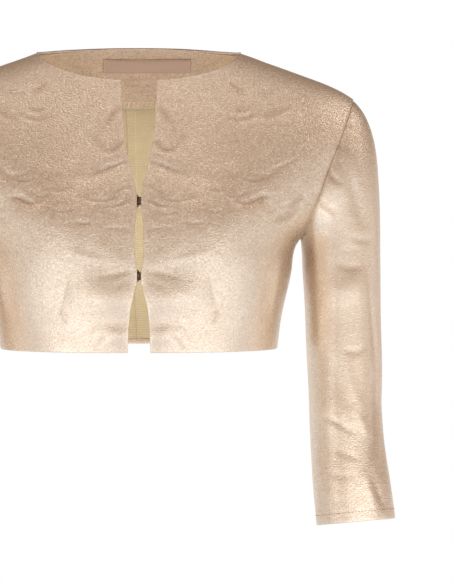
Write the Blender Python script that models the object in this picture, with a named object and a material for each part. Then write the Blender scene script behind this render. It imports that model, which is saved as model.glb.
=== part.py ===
"""Cropped bolero jacket in metallic faux leather, in its worn shape with no wearer.

The wearer faces -Y and up is +Z. The origin lies midway between the two points where the
neckline crosses the shoulder seams. Sizes are in metres. Every panel is a wall of cloth
between an outer surface and the same surface moved inwards, so the neck, hem, cuffs and
armholes stay open.

The bodice surface is made of rings. Each ring leaves the centre line sideways and ends at
the side seam or shoulder seam, where it runs front to back. Rings are level up to the
underarm and then climb over the shoulder to the neckline. The sleeve is made of rings
too. They swing round the underarm from the armhole seam down to the upper arm.
"""

import math
from collections import namedtuple

import bpy
import numpy as np

# Cloth thicknesses, and the clearances between pieces
LEATHER_WALL = 0.0018
FACING_WALL = 0.0015
LINING_WALL = 0.0010
LABEL_WALL = 0.0010
SEAM_GAP = 0.0003
LAYER_GAP = 0.0003

# Rings of the bodice from the hem up. side is the side seam, then the edge of the shoulder
# ball, then the shoulder seam. front and back are the centre lines. reach is how far a ring
# runs sideways before it turns, as a share of side_x. turn is how far it runs front to
# back at the side, as a share of the depth there.
Station = namedtuple(
    "Station",
    "side_x side_y side_z front_y front_z back_y back_z"
    " front_reach front_turn back_reach back_turn",
)
STATIONS = (
    Station(0.1283, 0.000, -0.2745, -0.106, -0.2745, 0.090, -0.2740, 0.62, 0.60, 0.62, 0.60),
    Station(0.1340, 0.000, -0.2380, -0.112, -0.2380, 0.094, -0.2380, 0.62, 0.60, 0.62, 0.60),
    Station(0.1419, 0.000, -0.2010, -0.117, -0.2010, 0.098, -0.2010, 0.62, 0.60, 0.64, 0.60),
    Station(0.1502, 0.001, -0.1730, -0.117, -0.1670, 0.101, -0.1670, 0.62, 0.60, 0.66, 0.60),
    Station(0.1900, 0.003, -0.1350, -0.110, -0.1340, 0.103, -0.1330, 0.59, 0.58, 0.64, 0.58),
    Station(0.2160, 0.005, -0.0830, -0.099, -0.1030, 0.099, -0.0940, 0.58, 0.55, 0.62, 0.56),
    Station(0.2000, 0.006, -0.0430, -0.087, -0.0750, 0.088, -0.0560, 0.62, 0.51, 0.63, 0.52),
    Station(0.1470, 0.004, -0.0195, -0.077, -0.0505, 0.075, -0.0215, 0.74, 0.46, 0.67, 0.48),
    Station(0.0935, 0.000, 0.0000, -0.070, -0.0300, 0.060, 0.0080, 0.87, 0.42, 0.70, 0.46),
)
HEM, UNDERARM, SHOULDER_TIP, NECK = 0, 3, 6, 8
ROWS_BELOW_ARMHOLE = 9
ROWS_ALONG_ARMHOLE = 14
ROWS_ALONG_SHOULDER = 8
FRONT_COLUMNS = 12
BACK_COLUMNS = 20
# How sharply the columns of cloth crowd towards the armhole
EDGE_PULL = 2.2

# Half of the gap between the two front edges, from the neck down. It closes at two hooks.
Gap = namedtuple("Gap", "z half_width")
FRONT_GAP = (
    Gap(-0.0300, 0.0163),
    Gap(-0.0550, 0.0150),
    Gap(-0.0915, 0.0112),
    Gap(-0.1110, 0.0070),
    Gap(-0.1330, 0.0021),
    Gap(-0.1440, 0.0018),
    Gap(-0.1540, 0.0030),
    Gap(-0.1790, 0.0041),
    Gap(-0.1930, 0.0032),
    Gap(-0.2010, 0.0018),
    Gap(-0.2100, 0.0018),
    Gap(-0.2190, 0.0036),
    Gap(-0.2330, 0.0070),
    Gap(-0.2530, 0.0092),
    Gap(-0.2735, 0.0100),
)
UPPER_HOOK_Z = -0.1390
LOWER_HOOK_Z = -0.2055

# Seen from the front the armhole seam is nearly straight from the underarm to the
# shoulder tip. A scoop moves its middle towards the body.
FRONT_SCOOP = 0.0015
BACK_SCOOP = -0.0060

# Soft mounds at the bust and the shoulder blades
Mound = namedtuple("Mound", "x z width height rise")
BUST = Mound(0.078, -0.166, 0.048, 0.042, 0.012)
BLADE = Mound(0.070, -0.120, 0.050, 0.050, 0.005)

# The largest folds of a front, the same on both sides: a line from x, z to end_x, end_z,
# its reach sideways and how far it stands out
Fold = namedtuple("Fold", "x z end_x end_z width rise")
FRONT_FOLDS = (
    Fold(0.006, -0.104, 0.064, -0.121, 0.0070, -0.0016),
    Fold(0.018, -0.057, 0.040, -0.086, 0.0080, 0.0012),
    Fold(0.088, -0.128, 0.136, -0.150, 0.0080, -0.0014),
    Fold(0.010, -0.196, 0.036, -0.178, 0.0070, 0.0010),
)

# Rings of a sleeve from the armhole seam down to the cuff. outer and inner are the points
# away from the body and next to it. lift raises the front of the ring.
Cuffward = namedtuple("Cuffward", "outer_x outer_z inner_x inner_z middle_y depth lift")
SLEEVE = (
    Cuffward(0.2000, -0.0430, 0.1502, -0.1730, 0.004, 0.104, 0.000),
    Cuffward(0.2102, -0.0560, 0.1511, -0.1757, 0.004, 0.106, 0.000),
    Cuffward(0.2176, -0.0745, 0.1513, -0.1778, 0.004, 0.108, 0.000),
    Cuffward(0.2215, -0.0960, 0.1513, -0.1800, 0.004, 0.109, 0.000),
    Cuffward(0.2236, -0.1240, 0.1516, -0.1845, 0.004, 0.109, 0.000),
    Cuffward(0.2246, -0.1570, 0.1521, -0.1925, 0.004, 0.108, 0.000),
    Cuffward(0.2248, -0.1910, 0.1528, -0.2060, 0.004, 0.107, 0.001),
    Cuffward(0.2248, -0.2290, 0.1547, -0.2350, 0.003, 0.104, 0.001),
    Cuffward(0.2249, -0.2670, 0.1558, -0.2700, 0.001, 0.101, 0.001),
    Cuffward(0.2248, -0.3040, 0.1575, -0.3060, -0.002, 0.098, 0.001),
    Cuffward(0.2242, -0.3270, 0.1583, -0.3300, -0.005, 0.096, 0.002),
    Cuffward(0.2264, -0.3570, 0.1597, -0.3610, -0.009, 0.094, 0.003),
    Cuffward(0.2318, -0.3940, 0.1614, -0.3990, -0.015, 0.091, 0.004),
    Cuffward(0.2366, -0.4315, 0.1642, -0.4380, -0.021, 0.088, 0.005),
)
SLEEVE_ROWS = 26
# Rows stand a little closer together near the armhole than near the cuff
SLEEVE_ROW_POWER = 1.15
# 2 gives an oval section, and a higher number a squarer one
SLEEVE_SQUARENESS = 2.25
# Number of rings over which the shape of the armhole seam fades out
ARMHOLE_BLEND = 4.5
ARMHOLE_CENTRE = (0.1755, 0.002, -0.108)

# The long soft crease of a sleeve: its angle from the outer side towards the front
Crease = namedtuple("Crease", "ring angle")
SLEEVE_CREASE = (
    Crease(2.0, 62),
    Crease(4.0, 50),
    Crease(6.0, 41),
    Crease(7.0, 32),
    Crease(8.0, 22),
    Crease(9.0, 9),
    Crease(10.0, 7),
    Crease(11.0, 24),
    Crease(12.0, 38),
    Crease(13.0, 42),
)
CREASE_RISE = 0.0016
CREASE_ANGLE = 15
SLEEVE_RADIUS = 0.045

# Neck facing and lining inside the back. Depths are in stations below the neckline.
FACING_DEPTH_CENTRE = 1.85
FACING_DEPTH_SHOULDER = 0.95
FACING_WIDTH = 0.985
FACING_NECK_DROP = 0.03
FACING_FOOT_GAP = 0.0036
FACING_ROWS = 6
TUCK = 0.16
LINING_GAP = 0.0008
LINING_HEM_STATION = 0.15
LINING_FAN_STATION = 5.5
LINING_FAN_ROWS = 5
LINING_SIDE = 0.950
PLEAT_TOP_X, PLEAT_TOP_Z = -0.0125, -0.050
PLEAT_FOOT_X, PLEAT_FOOT_Z = -0.0023, -0.268
PLEAT_RISE = 0.0012
PLEAT_WIDTH = 0.010
PLEAT_STEP = 0.003

# Columns of the back, and of the lining with two more beside the pleat
BACK_SHARES = np.linspace(-1, 1, BACK_COLUMNS + 1)
LINING_SHARES = np.concatenate(
    [[-LINING_SIDE], BACK_SHARES[1:10], [-0.04, -0.03, 0.04], BACK_SHARES[11:20], [LINING_SIDE]]
)
PLEAT_COLUMN = 10

LABEL_LEFT, LABEL_RIGHT = -0.0335, 0.0490
LABEL_TOP, LABEL_FOOT = -0.0030, -0.0150
LABEL_COLUMNS = 8

# Hooks and bars, sewn behind the front edges
HOOK_HEIGHT = 0.0074
HOOK_PLATE = 0.0008
HOOK_REACH = 0.0021
HOOK_TAIL = 0.0105
HOOK_LIP = 0.0022
HOOK_BEND_STEPS = 8
BAR_WIRE = 0.0011
BAR_SIDES = 8
BAR_HEIGHT = 0.0104
BAR_TAIL = 0.0105
BAR_CORNER = 0.0018
BAR_CORNER_STEPS = 4
METAL_GAP = 0.0003


def smooth_rows(table, at):
    """Natural cubic spline through the rows of a table, read at fractional row numbers."""
    rows = np.array(table, float)
    last = len(rows) - 1
    bends = np.zeros_like(rows)
    links = 4 * np.eye(last - 1) + np.eye(last - 1, k=1) + np.eye(last - 1, k=-1)
    bends[1:-1] = np.linalg.solve(links, 6 * (rows[2:] - 2 * rows[1:-1] + rows[:-2]))
    at = np.clip(np.asarray(at, float), 0, last)
    low = np.minimum(at.astype(int), last - 1)
    f = (at - low)[..., None]
    g = 1 - f
    straight = g * rows[low] + f * rows[low + 1]
    return straight + ((g**3 - g) * bends[low] + (f**3 - f) * bends[low + 1]) / 6


def mound(x, z, shape):
    across = (np.abs(x) - shape.x) / shape.width
    return shape.rise * np.exp(-(across**2) - ((z - shape.z) / shape.height) ** 2)


def fold(x, z, line):
    """How far the cloth stands out near one fold line. It fades sideways and at both ends."""
    along_x, along_z = line.end_x - line.x, line.end_z - line.z
    length = math.hypot(along_x, along_z)
    share = ((x - line.x) * along_x + (z - line.z) * along_z) / length**2
    off = ((x - line.x) * along_z - (z - line.z) * along_x) / length
    ends = np.clip((share - 0.5) ** 2 * 4 - 0.6, 0, None)
    return line.rise * np.exp(-((off / line.width) ** 2) - 2 * ends)


def bodice(half, t, station):
    """Outer cloth of one side of the bodice: half -1 front, 1 back, t 0 centre to 1 side."""
    t, station = np.broadcast_arrays(np.asarray(t, float), np.asarray(station, float))
    s = Station(*np.moveaxis(smooth_rows(STATIONS, station), -1, 0))
    if half < 0:
        centre_y, centre_z, reach, turn = s.front_y, s.front_z, s.front_reach, s.front_turn
    else:
        centre_y, centre_z, reach, turn = s.back_y, s.back_z, s.back_reach, s.back_turn
    near = (1 - t) ** 3 + 3 * (1 - t) ** 2 * t
    x = s.side_x * (3 * (1 - t) ** 2 * t * reach + 1 - near)
    run = 3 * (1 - t) * t**2 * turn
    y = near * centre_y + (1 - near) * s.side_y + run * (centre_y - s.side_y)
    z = near * centre_z + (1 - near) * s.side_z
    if half < 0:
        y = y - mound(x, z, BUST) - sum(fold(x, z, line) for line in FRONT_FOLDS)
    else:
        y = y + mound(x, z, BLADE)
    return np.stack([x, y, z], -1)


def unit(vectors):
    return vectors / np.linalg.norm(vectors, axis=-1, keepdims=True)


def outward(half, t, station):
    """Direction square to the cloth, away from the wearer."""
    step = 1e-4
    along = bodice(half, t + step, station) - bodice(half, t - step, station)
    up = bodice(half, t, station + step) - bodice(half, t, station - step)
    return unit(np.cross(along, up) * -half)


def layer(half, t, station, depth):
    """Points at a depth under the outer cloth. A negative t lies on the -X side."""
    t, station = np.broadcast_arrays(np.asarray(t, float), np.asarray(station, float))
    points = bodice(half, np.abs(t), station)
    points = points - outward(half, np.abs(t), station) * np.asarray(depth)[..., None]
    return points * np.stack([np.where(t < 0, -1.0, 1.0), np.ones_like(t), np.ones_like(t)], -1)


def crossing(half, stations, beyond):
    """The t at which each ring first passes the line where beyond(points) turns positive."""
    low, high = np.zeros_like(stations), np.ones_like(stations)
    for _ in range(40):
        middle = (low + high) / 2
        past = beyond(bodice(half, middle, stations)) > 0
        low, high = np.where(past, low, middle), np.where(past, middle, high)
    return (low + high) / 2


def past_front_edge(points):
    heights = [row.z for row in reversed(FRONT_GAP)]
    widths = [row.half_width for row in reversed(FRONT_GAP)]
    return points[..., 0] - np.interp(points[..., 2], heights, widths)


def past_seam(half, stations):
    """Beyond the side seam or shoulder seam, less half of the seam gap."""
    side_y = smooth_rows(STATIONS, stations)[..., 1]
    return lambda points: SEAM_GAP / 2 - half * (points[..., 1] - side_y)


def past_armhole(half):
    low, high = STATIONS[UNDERARM], STATIONS[SHOULDER_TIP]
    scoop = FRONT_SCOOP if half < 0 else BACK_SCOOP

    def beyond(points):
        share = np.clip((points[..., 2] - low.side_z) / (high.side_z - low.side_z), 0, 1)
        line = low.side_x + (high.side_x - low.side_x) * share
        return points[..., 0] - line + scoop * np.sin(math.pi * share)

    return beyond


def bodice_rows():
    """Station of each row of cloth, closer together at both ends of the armhole."""
    below = np.linspace(HEM, UNDERARM, ROWS_BELOW_ARMHOLE + 1)
    swing = (1 - np.cos(np.linspace(0, math.pi, ROWS_ALONG_ARMHOLE + 1))) / 2
    along = UNDERARM + (SHOULDER_TIP - UNDERARM) * swing
    above = np.linspace(SHOULDER_TIP, NECK, ROWS_ALONG_SHOULDER + 1)
    return np.concatenate([below, along[1:], above[1:]])


def side_limit(half, rows):
    """t of a panel's outer edge: the side seam, the armhole seam, then the shoulder seam."""
    at_armhole = (rows > UNDERARM + 1e-9) & (rows < SHOULDER_TIP - 1e-9)
    seam = crossing(half, rows, past_seam(half, rows))
    return np.where(at_armhole, np.minimum(crossing(half, rows, past_armhole(half)), seam), seam)


def towards_armhole_centre(points):
    """Direction of the armhole's raw edge: panel and sleeve both end along it."""
    return unit(np.array(ARMHOLE_CENTRE) - points)


def armhole_rows(rows):
    return (rows > UNDERARM - 1e-9) & (rows < SHOULDER_TIP + 1e-9)


def turn_armhole_edge(outer, inner, rows, column):
    """At the armhole the wall ends square to the sleeve instead of square to itself."""
    at = armhole_rows(rows)
    edge = outer[at, column].copy()
    mirror = np.array([-1.0 if edge[0, 0] < 0 else 1.0, 1, 1])
    inner[at, column] = edge + towards_armhole_centre(edge * mirror) * mirror * LEATHER_WALL


def rectangle_faces(rows, columns, closed):
    """Corner numbers of the quads of a grid whose points are counted row by row."""
    r = np.arange(rows - 1)[:, None]
    c = np.arange(columns if closed else columns - 1)[None, :]
    right = (c + 1) % columns
    quads = [r * columns + c, r * columns + right, (r + 1) * columns + right, (r + 1) * columns + c]
    return np.stack(np.broadcast_arrays(*quads), -1).reshape(-1, 4)


def strip_faces(line, other, closed):
    """Quads between two equally long lines of point numbers."""
    if closed:
        line, other = np.append(line, line[0]), np.append(other, other[0])
    return np.stack([line[:-1], line[1:], other[1:], other[:-1]], -1)


def wall_faces(rows, columns, closed):
    """Quads of a wall: outer grid, inner grid turned round, and the edges between them."""
    count = rows * columns
    index = np.arange(count).reshape(rows, columns)
    outer = rectangle_faces(rows, columns, closed)
    faces = [outer, outer[:, ::-1] + count]
    faces.append(strip_faces(index[0] + count, index[0], closed))
    faces.append(strip_faces(index[-1], index[-1] + count, closed))
    if not closed:
        faces.append(strip_faces(index[:, 0], index[:, 0] + count, False))
        faces.append(strip_faces(index[:, -1] + count, index[:, -1], False))
    return np.concatenate(faces)


def material(name, colour, roughness, metallic):
    made = bpy.data.materials.new(name)
    made.use_nodes = True
    shader = made.node_tree.nodes["Principled BSDF"]
    shader.inputs["Base Color"].default_value = (*colour, 1)
    shader.inputs["Roughness"].default_value = roughness
    shader.inputs["Metallic"].default_value = metallic
    made.diffuse_color = (*colour, 1)
    return made


def solid(name, points, faces, surface):
    """A mesh object with smooth shading that keeps the cut edges of the cloth sharp."""
    mesh = bpy.data.meshes.new(name)
    mesh.from_pydata(np.asarray(points).tolist(), [], np.asarray(faces).tolist())
    mesh.validate()
    mesh.materials.append(surface)
    mesh.shade_smooth()
    mesh.set_sharp_from_angle(angle=math.radians(50))
    made = bpy.data.objects.new(name, mesh)
    bpy.context.scene.collection.objects.link(made)
    return made


def wall(name, outer, inner, surface, closed=False, flip=False):
    """Closed body of cloth between two equal grids of points."""
    faces = wall_faces(outer.shape[0], outer.shape[1], closed)
    if flip:
        faces = faces[:, ::-1]
    points = np.concatenate([outer.reshape(-1, 3), inner.reshape(-1, 3)])
    return solid(name, points, faces, surface)


def mirrored(points):
    return points * np.array([-1.0, 1, 1])


def make_fronts(surface):
    rows = bodice_rows()
    first = crossing(-1, rows, past_front_edge)
    last = side_limit(-1, rows)
    across = np.linspace(0, 1, FRONT_COLUMNS + 1)
    t = first[:, None] + (1 - first)[:, None] * across
    t = t - (1 - last)[:, None] * across**EDGE_PULL
    outer = layer(-1, t, rows[:, None], np.zeros(t.shape))
    inner = layer(-1, t, rows[:, None], np.full(t.shape, LEATHER_WALL))
    turn_armhole_edge(outer, inner, rows, -1)
    wall("front_left", outer, inner, surface)
    wall("front_right", mirrored(outer), mirrored(inner), surface, flip=True)
    return outer[armhole_rows(rows), -1]


def make_back(surface):
    rows = bodice_rows()
    last = side_limit(1, rows)
    t = BACK_SHARES - (1 - last)[:, None] * np.sign(BACK_SHARES) * np.abs(BACK_SHARES) ** EDGE_PULL
    outer = layer(1, t, rows[:, None], np.zeros(t.shape))
    inner = layer(1, t, rows[:, None], np.full(t.shape, LEATHER_WALL))
    turn_armhole_edge(outer, inner, rows, -1)
    turn_armhole_edge(outer, inner, rows, 0)
    wall("back", outer, inner, surface, flip=True)
    return outer[armhole_rows(rows), -1]


def sleeve_ring(ring, angle):
    """Points of the sleeve. angle 0 is away from the body and a quarter turn is the front."""
    s = Cuffward(*np.moveaxis(smooth_rows(SLEEVE, ring), -1, 0))
    out, front = np.cos(angle), np.sin(angle)
    power = 2 / SLEEVE_SQUARENESS
    out_share = np.sign(out) * np.abs(out) ** power
    front_share = np.sign(front) * np.abs(front) ** power
    creases = np.interp(ring, [c.ring for c in SLEEVE_CREASE], [c.angle for c in SLEEVE_CREASE])
    strength = CREASE_RISE * np.clip((ring - 1) / 3, 0, 1)
    off = (np.degrees(angle) - creases) / CREASE_ANGLE
    grow = 1 + strength / SLEEVE_RADIUS * np.exp(-(off**2))
    half_x, half_z = (s.outer_x - s.inner_x) / 2, (s.outer_z - s.inner_z) / 2
    x = (s.outer_x + s.inner_x) / 2 + half_x * out_share * grow
    y = s.middle_y - s.depth / 2 * front_share * grow
    z = (s.outer_z + s.inner_z) / 2 + half_z * out_share + s.lift * front_share
    return np.stack([x, y, z], -1)


def sleeve_surface(armhole, rings):
    """Outer points of a sleeve whose first ring is the armhole seam."""
    low, high = STATIONS[UNDERARM], STATIONS[SHOULDER_TIP]
    share = np.clip((armhole[:, 2] - low.side_z) / (high.side_z - low.side_z), 0, 1)
    side = np.where(np.arange(len(armhole)) <= ROWS_ALONG_ARMHOLE, 1, -1)
    angle = side * np.arccos(2 * share - 1)
    grid = sleeve_ring(rings[:, None], angle[None, :])
    stretch = armhole - sleeve_ring(np.zeros_like(angle), angle)
    fade = np.clip(1 - rings / ARMHOLE_BLEND, 0, 1)
    fade = fade * fade * (3 - 2 * fade)
    return grid + fade[:, None, None] * stretch


def grid_outward(points):
    """Direction square to a grid that closes round its columns."""
    around = np.roll(points, -1, axis=1) - np.roll(points, 1, axis=1)
    return unit(np.cross(around, np.gradient(points, axis=0)))


def make_sleeves(front_armhole, back_armhole, surface):
    # From the shoulder tip down the front to the underarm and up the back
    loop = np.concatenate([front_armhole[::-1], back_armhole[1:-1]])
    tip = (front_armhole[-1] + back_armhole[-1]) / 2
    pit = (front_armhole[0] + back_armhole[0]) / 2
    loop[0], loop[ROWS_ALONG_ARMHOLE] = tip, pit
    away = unit(np.cross(np.array([0.0, 1, 0]), tip - pit))
    rings = (len(SLEEVE) - 1) * np.linspace(0, 1, SLEEVE_ROWS + 1) ** SLEEVE_ROW_POWER
    outer = sleeve_surface(loop, rings) + away * SEAM_GAP * np.clip(1 - rings, 0, 1)[:, None, None]
    inner = outer - grid_outward(outer) * LEATHER_WALL
    inner[0] = outer[0] + towards_armhole_centre(loop) * LEATHER_WALL
    wall("sleeve_left", outer, inner, surface, closed=True)
    wall("sleeve_right", mirrored(outer), mirrored(inner), surface, closed=True, flip=True)


def facing_foot(t):
    """Station of the facing's lower edge: deep at the centre back, narrow at the shoulder."""
    share = np.abs(t) ** 2 * (3 - 2 * np.abs(t))
    return NECK - FACING_DEPTH_CENTRE + (FACING_DEPTH_CENTRE - FACING_DEPTH_SHOULDER) * share


def make_facing(surface):
    across = BACK_SHARES * FACING_WIDTH
    foot = facing_foot(across)
    rows = np.linspace(0, 1, FACING_ROWS + 1)[:, None]
    station = foot + (NECK - FACING_NECK_DROP - foot) * rows
    t = np.broadcast_to(across, station.shape)
    # Next to the back at the neckline, and over the lining's upper edge at its own foot
    clear = FACING_FOOT_GAP + (LAYER_GAP - FACING_FOOT_GAP) * rows
    depth = LEATHER_WALL + clear + np.zeros(t.shape)
    near = layer(1, t, station, depth)
    far = layer(1, t, station, depth + FACING_WALL)
    wall("neck_facing", near, far, surface, flip=True)


def pleat_x(z):
    share = (z - PLEAT_TOP_Z) / (PLEAT_FOOT_Z - PLEAT_TOP_Z)
    return PLEAT_TOP_X + (PLEAT_FOOT_X - PLEAT_TOP_X) * share


def pleat_t(station):
    """Signed t of the pleat line, which lies on the -X side of the centre back."""
    return -crossing(1, station, lambda points: points[..., 0] + pleat_x(points[..., 2]))


def make_lining(surface):
    rows = bodice_rows()
    rows = rows[(rows > LINING_HEM_STATION + 0.1) & (rows < LINING_FAN_STATION)]
    level = np.concatenate([[LINING_HEM_STATION], rows])
    # The upper rows fan out to follow the facing, tucked a little way up behind it
    top = facing_foot(LINING_SHARES) + TUCK
    fan = np.linspace(0, 1, LINING_FAN_ROWS + 1)[1:, None]
    station = np.concatenate(
        [
            np.broadcast_to(level[:, None], (level.size, top.size)),
            level[-1] + (top - level[-1]) * fan,
        ]
    )
    pull = np.sign(LINING_SHARES) * np.abs(LINING_SHARES) ** EDGE_PULL
    t = LINING_SHARES - (1 - side_limit(1, station)) * pull
    pleat = pleat_t(station[:, PLEAT_COLUMN])
    t[:, PLEAT_COLUMN] = pleat
    t[:, PLEAT_COLUMN + 1] = pleat + PLEAT_STEP
    points = bodice(1, np.abs(t), station) * np.stack([np.sign(t), t * 0 + 1, t * 0 + 1], -1)
    past = np.clip((points[..., 0] - pleat_x(points[..., 2])) / PLEAT_WIDTH, 0, None)
    rise = PLEAT_RISE * np.exp(-(past**2))
    rise[:, : PLEAT_COLUMN + 1] = 0
    depth = LEATHER_WALL + LINING_GAP + rise
    near = layer(1, t, station, depth)
    far = layer(1, t, station, depth + LINING_WALL)
    wall("back_lining", near, far, surface, flip=True)


def label_depth(station):
    clear = LAYER_GAP + (FACING_FOOT_GAP - LAYER_GAP) * (NECK - station) / FACING_DEPTH_CENTRE
    return LEATHER_WALL + clear + FACING_WALL + 2 * LAYER_GAP


def on_facing(x, z):
    """t and station of the facing's visible side at x and z, found in small corrections."""
    t, station = np.abs(x) / 0.2, np.full(x.shape, 7.5)
    step = 1e-3
    for _ in range(30):
        here = layer(1, t, station, label_depth(station))
        by_t = (layer(1, t + step, station, label_depth(station)) - here) / step
        lower = station - step
        by_station = (here - layer(1, t, lower, label_depth(lower))) / step
        miss_x, miss_z = np.abs(x) - here[..., 0], z - here[..., 2]
        area = by_t[..., 0] * by_station[..., 2] - by_t[..., 2] * by_station[..., 0]
        t = t + (miss_x * by_station[..., 2] - miss_z * by_station[..., 0]) / area
        station = station + (by_t[..., 0] * miss_z - by_t[..., 2] * miss_x) / area
    return np.where(x < 0, -t, t), station


def make_label(surface):
    across = np.linspace(LABEL_LEFT, LABEL_RIGHT, LABEL_COLUMNS + 1)
    z = np.linspace(LABEL_FOOT, LABEL_TOP, 3)
    t, station = on_facing(*np.meshgrid(across, z))
    depth = label_depth(station)
    near = layer(1, t, station, depth)
    far = layer(1, t, station, depth + LABEL_WALL)
    wall("label", near, far, surface, flip=True)


def front_inside_y(z):
    """Innermost y of the fronts' inner faces over the stretch that a hook lies on."""
    heights = np.linspace(z - HOOK_HEIGHT / 2, z + HOOK_HEIGHT / 2, 9)
    stations = np.interp(heights, [s.front_z for s in STATIONS], np.arange(len(STATIONS)))[:, None]
    reach = crossing(-1, stations, lambda points: points[..., 0] - HOOK_TAIL)
    t = reach * np.linspace(0, 1, 9)
    return layer(-1, t, stations, np.full(t.shape, LEATHER_WALL))[..., 1].max()


def make_hook(name, z, surface):
    """A flat hook behind the edge of the left front. Its end turns back round the bar."""
    y = front_inside_y(z) + LAYER_GAP
    inside = BAR_WIRE / 2 + METAL_GAP
    outside = inside + HOOK_PLATE
    middle_x, middle_y = -HOOK_REACH + outside, y + outside
    turns = np.linspace(math.pi / 2, 3 * math.pi / 2, HOOK_BEND_STEPS + 1)
    away, towards = [], []
    for a in turns:
        away.append((middle_x + outside * math.cos(a), middle_y - outside * math.sin(a)))
        towards.append((middle_x + inside * math.cos(a), middle_y - inside * math.sin(a)))
    lip_x = middle_x + HOOK_LIP
    away = [(HOOK_TAIL, y)] + away + [(lip_x, middle_y + outside)]
    towards = [(HOOK_TAIL, y + HOOK_PLATE)] + towards + [(lip_x, middle_y + inside)]
    ends = (z - HOOK_HEIGHT / 2, z + HOOK_HEIGHT / 2)
    outer = np.array([[(px, py, end) for end in ends] for px, py in away])
    inner = np.array([[(px, py, end) for end in ends] for px, py in towards])
    wall(name, outer, inner, surface)
    return middle_x, middle_y


def make_bar(name, z, middle, surface):
    """A closed wire loop behind the right front. The hook holds one of its long sides."""
    right, left = middle[0] - BAR_CORNER, BAR_CORNER - BAR_TAIL
    half = BAR_HEIGHT / 2 - BAR_CORNER
    corners = ((right, half, 0), (left, half, 90), (left, -half, 180), (right, -half, 270))
    loop = []
    for corner_x, corner_z, start in corners:
        for a in np.radians(np.linspace(start, start + 90, BAR_CORNER_STEPS + 1)):
            loop.append((corner_x, corner_z, math.cos(a), math.sin(a)))
    round_wire = np.linspace(0, 2 * math.pi, BAR_SIDES, endpoint=False)
    points = []
    for corner_x, corner_z, out_x, out_z in loop:
        for b in round_wire:
            out = BAR_CORNER + BAR_WIRE / 2 * math.cos(b)
            y = middle[1] + BAR_WIRE / 2 * math.sin(b)
            points.append((corner_x + out * out_x, y, z + corner_z + out * out_z))
    index = np.arange(len(points)).reshape(len(loop), BAR_SIDES)
    follow = np.roll(index, -1, axis=0)
    faces = np.stack([index, np.roll(index, -1, 1), np.roll(follow, -1, 1), follow], -1)
    solid(name, points, faces.reshape(-1, 4), surface)


def main():
    for old in list(bpy.data.objects):
        bpy.data.objects.remove(old)
    leather = material("metallic leather", (0.62, 0.43, 0.31), 0.42, 0.55)
    facing = material("facing leather", (0.52, 0.36, 0.25), 0.45, 0.45)
    lining = material("lining cloth", (0.56, 0.44, 0.24), 0.60, 0.0)
    woven = material("label cloth", (0.40, 0.26, 0.19), 0.70, 0.0)
    metal = material("hook metal", (0.12, 0.09, 0.07), 0.35, 1.0)
    front_armhole = make_fronts(leather)
    back_armhole = make_back(leather)
    make_sleeves(front_armhole, back_armhole, leather)
    make_facing(facing)
    make_lining(lining)
    make_label(woven)
    upper = make_hook("hook_upper", UPPER_HOOK_Z, metal)
    make_bar("bar_upper", UPPER_HOOK_Z, upper, metal)
    lower = make_hook("hook_lower", LOWER_HOOK_Z, metal)
    make_bar("bar_lower", LOWER_HOOK_Z, lower, metal)


main()
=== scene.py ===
# Cropped bolero jacket in champagne metallic leather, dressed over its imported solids.
# Metres, the wearer faces -Y, up is +Z, and the origin lies between the two shoulder seams.
import math

import bpy
import numpy as np
from mathutils import Matrix, Vector


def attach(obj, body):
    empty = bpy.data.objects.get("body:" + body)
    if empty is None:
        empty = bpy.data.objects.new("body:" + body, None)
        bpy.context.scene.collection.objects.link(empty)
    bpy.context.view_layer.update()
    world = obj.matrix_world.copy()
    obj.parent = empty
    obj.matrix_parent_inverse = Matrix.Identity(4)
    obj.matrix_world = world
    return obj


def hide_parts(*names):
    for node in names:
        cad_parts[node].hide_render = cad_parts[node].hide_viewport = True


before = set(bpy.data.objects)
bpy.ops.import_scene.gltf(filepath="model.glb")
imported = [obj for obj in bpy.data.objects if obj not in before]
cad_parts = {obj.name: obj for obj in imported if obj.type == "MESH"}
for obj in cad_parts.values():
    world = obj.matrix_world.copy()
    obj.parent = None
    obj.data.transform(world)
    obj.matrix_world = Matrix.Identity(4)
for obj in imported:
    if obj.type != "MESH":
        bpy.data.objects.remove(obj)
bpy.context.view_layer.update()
print("frame loaded:", len(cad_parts), "solids")

# Bodice rings from the hem up to the neck, one row a ring:
# side x y z, front centre y z, back centre y z, front reach and turn, back reach and turn
bodiceRings = np.array([
    [0.1283, 0.000, -0.2745, -0.106, -0.2745, 0.090, -0.2740, 0.62, 0.60, 0.62, 0.60],
    [0.1340, 0.000, -0.2380, -0.112, -0.2380, 0.094, -0.2380, 0.62, 0.60, 0.62, 0.60],
    [0.1419, 0.000, -0.2010, -0.117, -0.2010, 0.098, -0.2010, 0.62, 0.60, 0.64, 0.60],
    [0.1502, 0.001, -0.1730, -0.117, -0.1670, 0.101, -0.1670, 0.62, 0.60, 0.66, 0.60],
    [0.1900, 0.003, -0.1350, -0.110, -0.1340, 0.103, -0.1330, 0.59, 0.58, 0.64, 0.58],
    [0.2160, 0.005, -0.0830, -0.099, -0.1030, 0.099, -0.0940, 0.58, 0.55, 0.62, 0.56],
    [0.2000, 0.006, -0.0430, -0.087, -0.0750, 0.088, -0.0560, 0.62, 0.51, 0.63, 0.52],
    [0.1470, 0.004, -0.0195, -0.077, -0.0505, 0.075, -0.0215, 0.74, 0.46, 0.67, 0.48],
    [0.0935, 0.000, 0.0000, -0.070, -0.0300, 0.060, 0.0080, 0.87, 0.42, 0.70, 0.46],
])
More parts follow.
